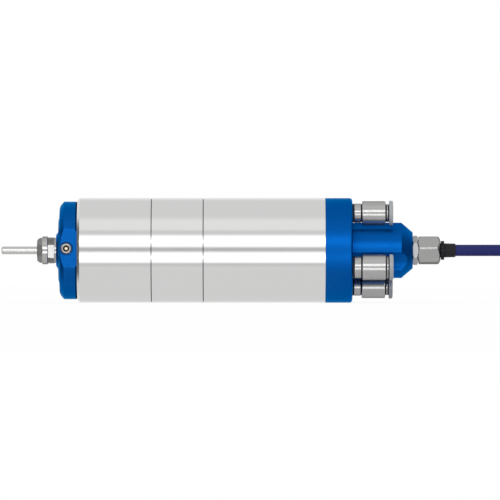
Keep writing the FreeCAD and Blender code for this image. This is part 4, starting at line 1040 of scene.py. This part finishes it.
def fitting_body(name, fitting):
    neck, body, tube, centre = (fitting[key] for key in ("neck", "body", "tube", "centre"))
    sleeve = tube + 1.93
    piece = turned(
        name + "_body", stepped(PORT_X, tube * 0.7, PORT_X, 4.8, NECK_X, neck - 0.35)
        + [(NECK_X + 0.35, neck), (NECK_END_X, neck)]
        + stepped(NECK_END_X, neck - 0.25, BODY_X, body - 0.55)
        + [(BODY_X + 0.16, body - 0.16), (BODY_X + 0.55, body), (BODY_END_X - 0.7, body),
           (BODY_END_X - 0.2, body - 0.2), (BODY_END_X, body - 0.7)]
        + stepped(BODY_END_X, sleeve, CARTRIDGE_X, tube + 0.05, STOP_X, tube * 0.7))
    placed(piece, (0.0, *centre))
    turned_metal(name + "_nickel", axis=centre, **NICKEL)
    # The groove between neck and body takes the black rubber finish, which paints the groove's shade
    groove = between(NECK_END_X - 0.05, BODY_X + 0.05, outer=neck + 0.2, centre=centre)
    return finished(piece, name + "_nickel", name + "_fitting", slot="bright_nickel",
                    parts=[("black_rubber", groove)])


def release_collar(name, fitting):
    bore = fitting["tube"] + 0.05
    stem = bore + 0.9
    hollow = fitting["guide"] + 0.1
    outer = fitting["collar"]
    piece = turned(
        name + "_release_ring", [(COLLAR_X, bore), (COLLAR_X, stem - 0.45)]
        + stepped(COLLAR_X + 0.9, stem, FLANGE_X + 1.45, hollow, FLANGE_X, outer - 0.2)
        + [(FLANGE_X + 0.2, outer), (FLANGE_END_X - 0.9, outer)]
        + arc((FLANGE_END_X - 0.9, outer - 0.9), 0.9, 75.0, 0.0, 4)
        + [(FLANGE_END_X, bore + 0.45), (FLANGE_END_X - 0.45, bore)])
    placed(piece, (0.0, *fitting["centre"]))
    return finished(piece, "grey_plastic", name + "_collar", body=name + "_collar", bevel=0.06)


def small_rings(name, node, finish, outline_of, **options):
    """The same ring in each fitting, as one piece."""
    rings = [placed(turned(name, outline_of(fitting), steps=96), (0.0, *fitting["centre"]))
             for fitting in FITTINGS.values()]
    return finished(joined(rings, name), finish, node, **options)


def washer_outline(fitting):
    outer = fitting["neck"] - 0.1
    return stepped(RING_X, PORT_RADIUS, RING_X, outer, NECK_X, PORT_RADIUS)


def guide_outline(fitting):
    """Half a section of the dark sleeve that stands out of the body, as far as the collar's hollow back."""
    bore, inside, outside = fitting["tube"] + 1.0, fitting["tube"] + 1.9, fitting["guide"]
    mouth_x, end_x = BODY_END_X + 0.01, FLANGE_X - 0.03
    return stepped(BODY_END_X - 2.0, bore, BODY_END_X - 2.0, inside, mouth_x, outside - 0.2, SNAP_RING_X,
                   outside, SNAP_RING_END_X, outside - 0.2, end_x, bore)


for fitting_name, sizes in FITTINGS.items():
    fitting_body(fitting_name, sizes)
    release_collar(fitting_name, sizes)
small_rings("sealing_washers", "fitting_gaskets", "black_rubber", washer_outline)
small_rings("mouth_guides", "collar_guides", "black_plastic", guide_outline,
            parts=[("bright_nickel", between(SNAP_RING_X - 0.02, SNAP_RING_END_X + 0.02))])

# %% [markdown]
# The cable gland has a six-sided base, a six-sided nut with a domed end, and a rubber bush that the nut
# squeezes round the cord. A hexagon with its corners broken is what a six-sided bar and a turned shape have
# in common, so each is made by the Boolean modifier's intersection.

# %% The cable gland
GLAND_BASE_END_X = HUB_END_X + 3.1
BASE_FLATS = 14.6
NUT_X = low("gland_nut").x
NUT_END_X = NUT_X + 12.5
NUT_FLATS = 15.0
NUT_CORNER_ANGLE = 9.0
BUSH_FLANGE_X = NUT_END_X + 0.3
BUSH_FLANGE_END_X = BUSH_FLANGE_X + 1.9
FLANGE_RADIUS = 5.4
SLEEVE_RADIUS = 4.05
NOTCHES = 14


def hexed(name, outline, flats, corner_angle, edge):
    """A six-sided piece whose long edges are rounded and whose corners are broken by a turned outline."""
    piece = turned(name, outline)
    bar = hexagon(outline[0][0] - 3.0, outline[-1][0] + 3.0, flats, corner_angle)
    modify(bar, "BEVEL", width=edge * MM, segments=4)
    combine(piece, bar, "INTERSECT")
    return piece


def corner_of(flats):
    """The radius of a hexagon's corners, and how far they reach past its flats."""
    corner = flats / math.sqrt(3)
    return corner, corner - flats / 2


corner, edge = corner_of(BASE_FLATS)
x, end_x = HUB_END_X, GLAND_BASE_END_X
piece = hexed("gland_base", [
    (x, 0.0), (x, corner - edge), (x + 0.5 * edge, corner), (end_x - 0.55 * edge, corner),
    (end_x, corner - edge), (end_x, 0.0)], BASE_FLATS, 30.0, edge=0.25)
combine(piece, rod(x - 9.6, x + 0.001, 6.0, sides=96), "UNION")
combine(piece, rod(end_x - 0.001, NUT_X + 8.0, 5.9, sides=96), "UNION")
drill(piece, [(0.0, 0.0)], (x - 10.0, NUT_X + 9.0, 3.3, 64), (NUT_X + 2.0, NUT_X + 9.0, 4.93, 64))
finished(piece, "base_nickel", "gland_body", slot="bright_nickel")

corner, edge = corner_of(NUT_FLATS)
dome = crowned((NUT_END_X - 2.4, corner), (NUT_END_X, 5.3), 0.6, steps=6)
piece = hexed("gland_cap_nut", [(NUT_X, 0.0), (NUT_X, corner - edge), (NUT_X + 0.5 * edge, corner)] + dome
              + [(NUT_END_X, 0.0)], NUT_FLATS, NUT_CORNER_ANGLE, edge=0.9)
drill(piece, [(0.0, 0.0)], (NUT_X - 1.0, NUT_END_X - 2.5, 5.93, 96), (NUT_X - 1.0, NUT_END_X + 1.0, 4.08, 96))
finished(piece, "gland_nickel", "gland_nut", slot="bright_nickel")

inner_x = NUT_X + 2.05
wall_x = NUT_END_X - 2.55
piece = turned(
    "gland_rubber_bush", stepped(inner_x, 3.3, inner_x, 4.9, wall_x, SLEEVE_RADIUS, BUSH_FLANGE_X,
                                 FLANGE_RADIUS, BUSH_FLANGE_END_X, SLEEVE_RADIUS)
    + [(CORD_X - 0.4, 3.9), (CORD_X, 3.7), (CORD_X, 3.3)], steps=96)
cutters = []
for number in range(NOTCHES):
    notch = block(((BUSH_FLANGE_X + BUSH_FLANGE_END_X) / 2, 0.0, FLANGE_RADIUS), (3.0, 0.5, 1.2))
    cutters.append(placed(notch, angles=(360.0 * number / NOTCHES, 0.0, 0.0)))
combine(piece, joined(cutters))
finished(piece, "black_rubber", "gland_bush", bevel=0.10)

# %% [markdown]
# At the nose the collet nut sits on the shaft's thread, with a round collar behind and six flats on a
# rounded front. The shaft shows as a neck with two flats for a spanner. The collet closes on a plain shank.

# %% The nose
NUT_FRONT_X = low("collet_nut").x
NUT_BACK_X = high("collet_nut").x
NUT_COLLAR_X = NUT_BACK_X - 3.2
NOSE_END_X = NUT_FRONT_X + 3.45
THREAD_X = low("spindle_shaft").x
NECK_FRONT_X = NUT_BACK_X + 0.05
NECK_BACK_X = NECK_FRONT_X + 3.5
NECK_FLAT_ANGLE = -5.6

nose = crowned((NUT_FRONT_X, 6.1), (NUT_COLLAR_X, 7.75), 0.1, steps=5)
piece = hexed("collet_cap_nut", [(NUT_FRONT_X, 0.0)] + nose + [(NUT_COLLAR_X, 0.0)], 12.5, 31.0, edge=0.3)
collar = turned("collar", [
    (NUT_COLLAR_X - 0.001, 0.0), (NUT_COLLAR_X - 0.001, 7.7), (NOSE_END_X, 8.0), (NUT_BACK_X - 0.3, 8.0),
    (NUT_BACK_X, 7.7), (NUT_BACK_X, 0.0)])
combine(piece, collar, "UNION")
inner = turned("inner", [
    (NUT_FRONT_X - 1, 0.0), (NUT_FRONT_X - 1, 4.7), (NUT_FRONT_X + 0.83, 4.7), (NUT_FRONT_X + 2.43, 5.63)]
    + stepped(THREAD_X - 0.03, 5.63, THREAD_X - 0.03, 6.46, NUT_BACK_X + 1, 0.0))
combine(piece, inner)
# The six-sided front takes the darker copy of the nickel as painted shade, and the collar the plain one
finished(piece, "painted_shade_nut_nickel", "collet_nut", body="collet_nut", bevel=0.1, slot="bright_nickel",
         parts=[("collar_nickel", between(NUT_COLLAR_X + 0.05, math.inf, inner=7.0))])

x, end_x = low("tool_shank").x, high("tool_shank").x
shoulder_x = NUT_FRONT_X - 0.1
piece = turned("plain_shank", [
    (x, 0.0), (x, 1.85), (x + 0.4, 2.25), (shoulder_x, 2.25), (shoulder_x, 2.0), (end_x - 0.4, 2.0),
    (end_x, 1.6), (end_x, 0.0)], steps=96)
finished(piece, "ground_steel", "tool_shank", body="tool", bevel=0)


def on_spanner_flat(middle, normal):
    return NECK_FRONT_X < middle.x < NECK_BACK_X and abs(normal.y) > 0.99


tail_x = high("spindle_shaft").x
flange_x = high("front_thrust_plate").x + 0.03
flange_end_x = low("rear_thrust_plate").x - 0.03
journal_x = FRONT_X + 5.5
wheel_x = low("turbine_wheel").x - 0.05
wheel_end_x = high("turbine_wheel").x
nut_end_x = high("turbine_lock_nut").x
bore_end_x = high("tool_shank").x + 8.0
piece = turned(
    "rotor_shaft", [(THREAD_X, 5.65), (THREAD_X, 6.1), (THREAD_X + 0.3, 6.4)]
    + stepped(NECK_FRONT_X, 6.4, NECK_FRONT_X, 7.5, NECK_BACK_X, 7.2, NECK_BACK_X + 0.9, 7.0,
              journal_x - 4.0, 10.0, journal_x - 1.0)
    + stepped(journal_x, 8.0, journal_x, 11.0, flange_x, 19.5, flange_end_x, 11.0, wheel_x, 7.0, wheel_end_x,
              6.0, nut_end_x, 4.0, tail_x, 0.0, bore_end_x, 3.0, high("collet").x + 1.0))
slab = rod(NECK_FRONT_X, NECK_BACK_X, 9.0, sides=64)
combine(slab, block(((NECK_FRONT_X + NECK_BACK_X) / 2, 0.0, 0.0), (8.0, 13.0, 30.0)))
combine(piece, placed(slab, angles=(-NECK_FLAT_ANGLE, 0.0, 0.0)))
finished(piece, "ground_steel", "spindle_shaft", body="rotor", parts=[
    ("dark_steel", between(NECK_FRONT_X - 0.1, NECK_BACK_X + 0.02)), ("milled_flat", on_spanner_flat),
    ("gland_nickel", between(NECK_BACK_X + 0.02, NECK_BACK_X + 1.0))])

# %% [markdown]
# The far end of the lead lies outside the view. Two straps hold the hank, and a round plug with a coupling
# ring lies in its middle. The straps start as cubes: their ends are opened, their long edges rounded, and
# Solidify gives them the wall.

# %% The hank's ties and the plug
ROUND_PLUG_X = low("plug_body").x
ROUND_PLUG_CENTRE = (7.5, -23.0)
CORE_X = ROUND_PLUG_X + 26.0
RIDGES = 24
TIE_WIDTH = 13.0 + 1.1


def hank_ties():
    lowest, highest = low("hank_ties"), high("hank_ties")
    middle = (lowest + highest) / 2
    length = highest.x - lowest.x
    ties = []
    for side in (-1, 1):
        centre = (middle.x, side * (highest.y - TIE_WIDTH / 2), middle.z)
        tie = block(centre, (length, TIE_WIDTH, highest.z - lowest.z))
        bpy.ops.object.mode_set(mode="EDIT")
        mesh = bmesh.from_edit_mesh(tie.data)
        for face in mesh.faces:
            face.select_set(abs(face.normal.x) > 0.9)
        bmesh.update_edit_mesh(tie.data)
        bpy.ops.mesh.delete(type="FACE")
        mesh = bmesh.from_edit_mesh(tie.data)
        for edge in mesh.edges:
            edge.select_set(edge.calc_length() > 0.99 * length * MM and not edge.is_boundary)
        bmesh.update_edit_mesh(tie.data)
        bpy.ops.mesh.bevel(offset=2.4 * MM, segments=6)
        bpy.ops.object.mode_set(mode="OBJECT")
        modify(tie, "SOLIDIFY", thickness=0.5 * MM)
        ties.append(tie)
    return finished(joined(ties, "hank_straps"), "black_plastic", "hank_ties", bevel=0.1)


def plug_body():
    ribs = []
    for number in range(4):
        x = ROUND_PLUG_X + 1.0 + 2.0 * number
        radius = 4.4 + 0.1 * number
        ribs += [(x, radius), (x + 0.2, radius - 0.6), (x + 0.9, radius - 0.6), (x + 1.1, radius + 0.1)]
    grip_x = ROUND_PLUG_X + 9.0
    end_x = high("plug_body").x
    piece = turned("round_plug", [(ROUND_PLUG_X, 0.0), (ROUND_PLUG_X, 4.3)] + ribs + [
        (grip_x, 5.4), (grip_x, 5.9), (grip_x + 0.4, 6.2), (CORE_X - 0.4, 6.2), (CORE_X, 5.9)]
        + stepped(CORE_X, 5.0, end_x, 4.2, end_x - 7.0, 0.0))
    placed(piece, (0.0, *ROUND_PLUG_CENTRE))
    return finished(piece, "black_plastic", "plug_body", bevel=0.1)


def plug_ring():
    x, end_x = low("plug_ring").x, high("plug_ring").x
    piece = turned("coupling_ring", [
        (x, 5.05), (x, 6.6), (x + 0.35, 6.95), (end_x - 0.8, 6.95), (end_x, 6.4), (end_x, 5.05)])
    cutters = [rod(x + 1.2, end_x - 2.0, 0.4, centre, sides=12) for centre in places(RIDGES, 7.1)]
    combine(piece, joined(cutters))
    placed(piece, (0.0, *ROUND_PLUG_CENTRE))
    return finished(piece, "plug_shell", "plug_ring", body="plug_ring", bevel=0.06)


def plug_pins():
    x, end_x = low("plug_pins").x, high("plug_pins").x
    pins = []
    for y, z in places(4, 2.4, 45.0):
        pin = turned("pin", [(x, 0.0), (x, 0.5), (end_x - 0.5, 0.5)]
                     + arc((end_x - 0.5, 0.0), 0.5, 60.0, 0.0, 3), steps=16)
        pins.append(placed(pin, (0.0, ROUND_PLUG_CENTRE[0] + y, ROUND_PLUG_CENTRE[1] + z)))
    return finished(joined(pins, "contact_pins"), "gold_pins", "plug_pins", bevel=0)


plug_pieces = [hank_ties(), plug_body(), plug_ring(), plug_pins()]

# %% [markdown]
# The cord takes its jacket's finish now. Its solids in the frame are a plain tube and a closed ring, which it
# stands for.

# %% The cord's finish
curve.materials.append(finishes["cord_jacket"])
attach(cable, "root")
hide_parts("sensor_cord", "cord_hank", "plug_lead")

# %% [markdown]
# Last, nothing is left selected.

# %% Clearing the selection
deselect()
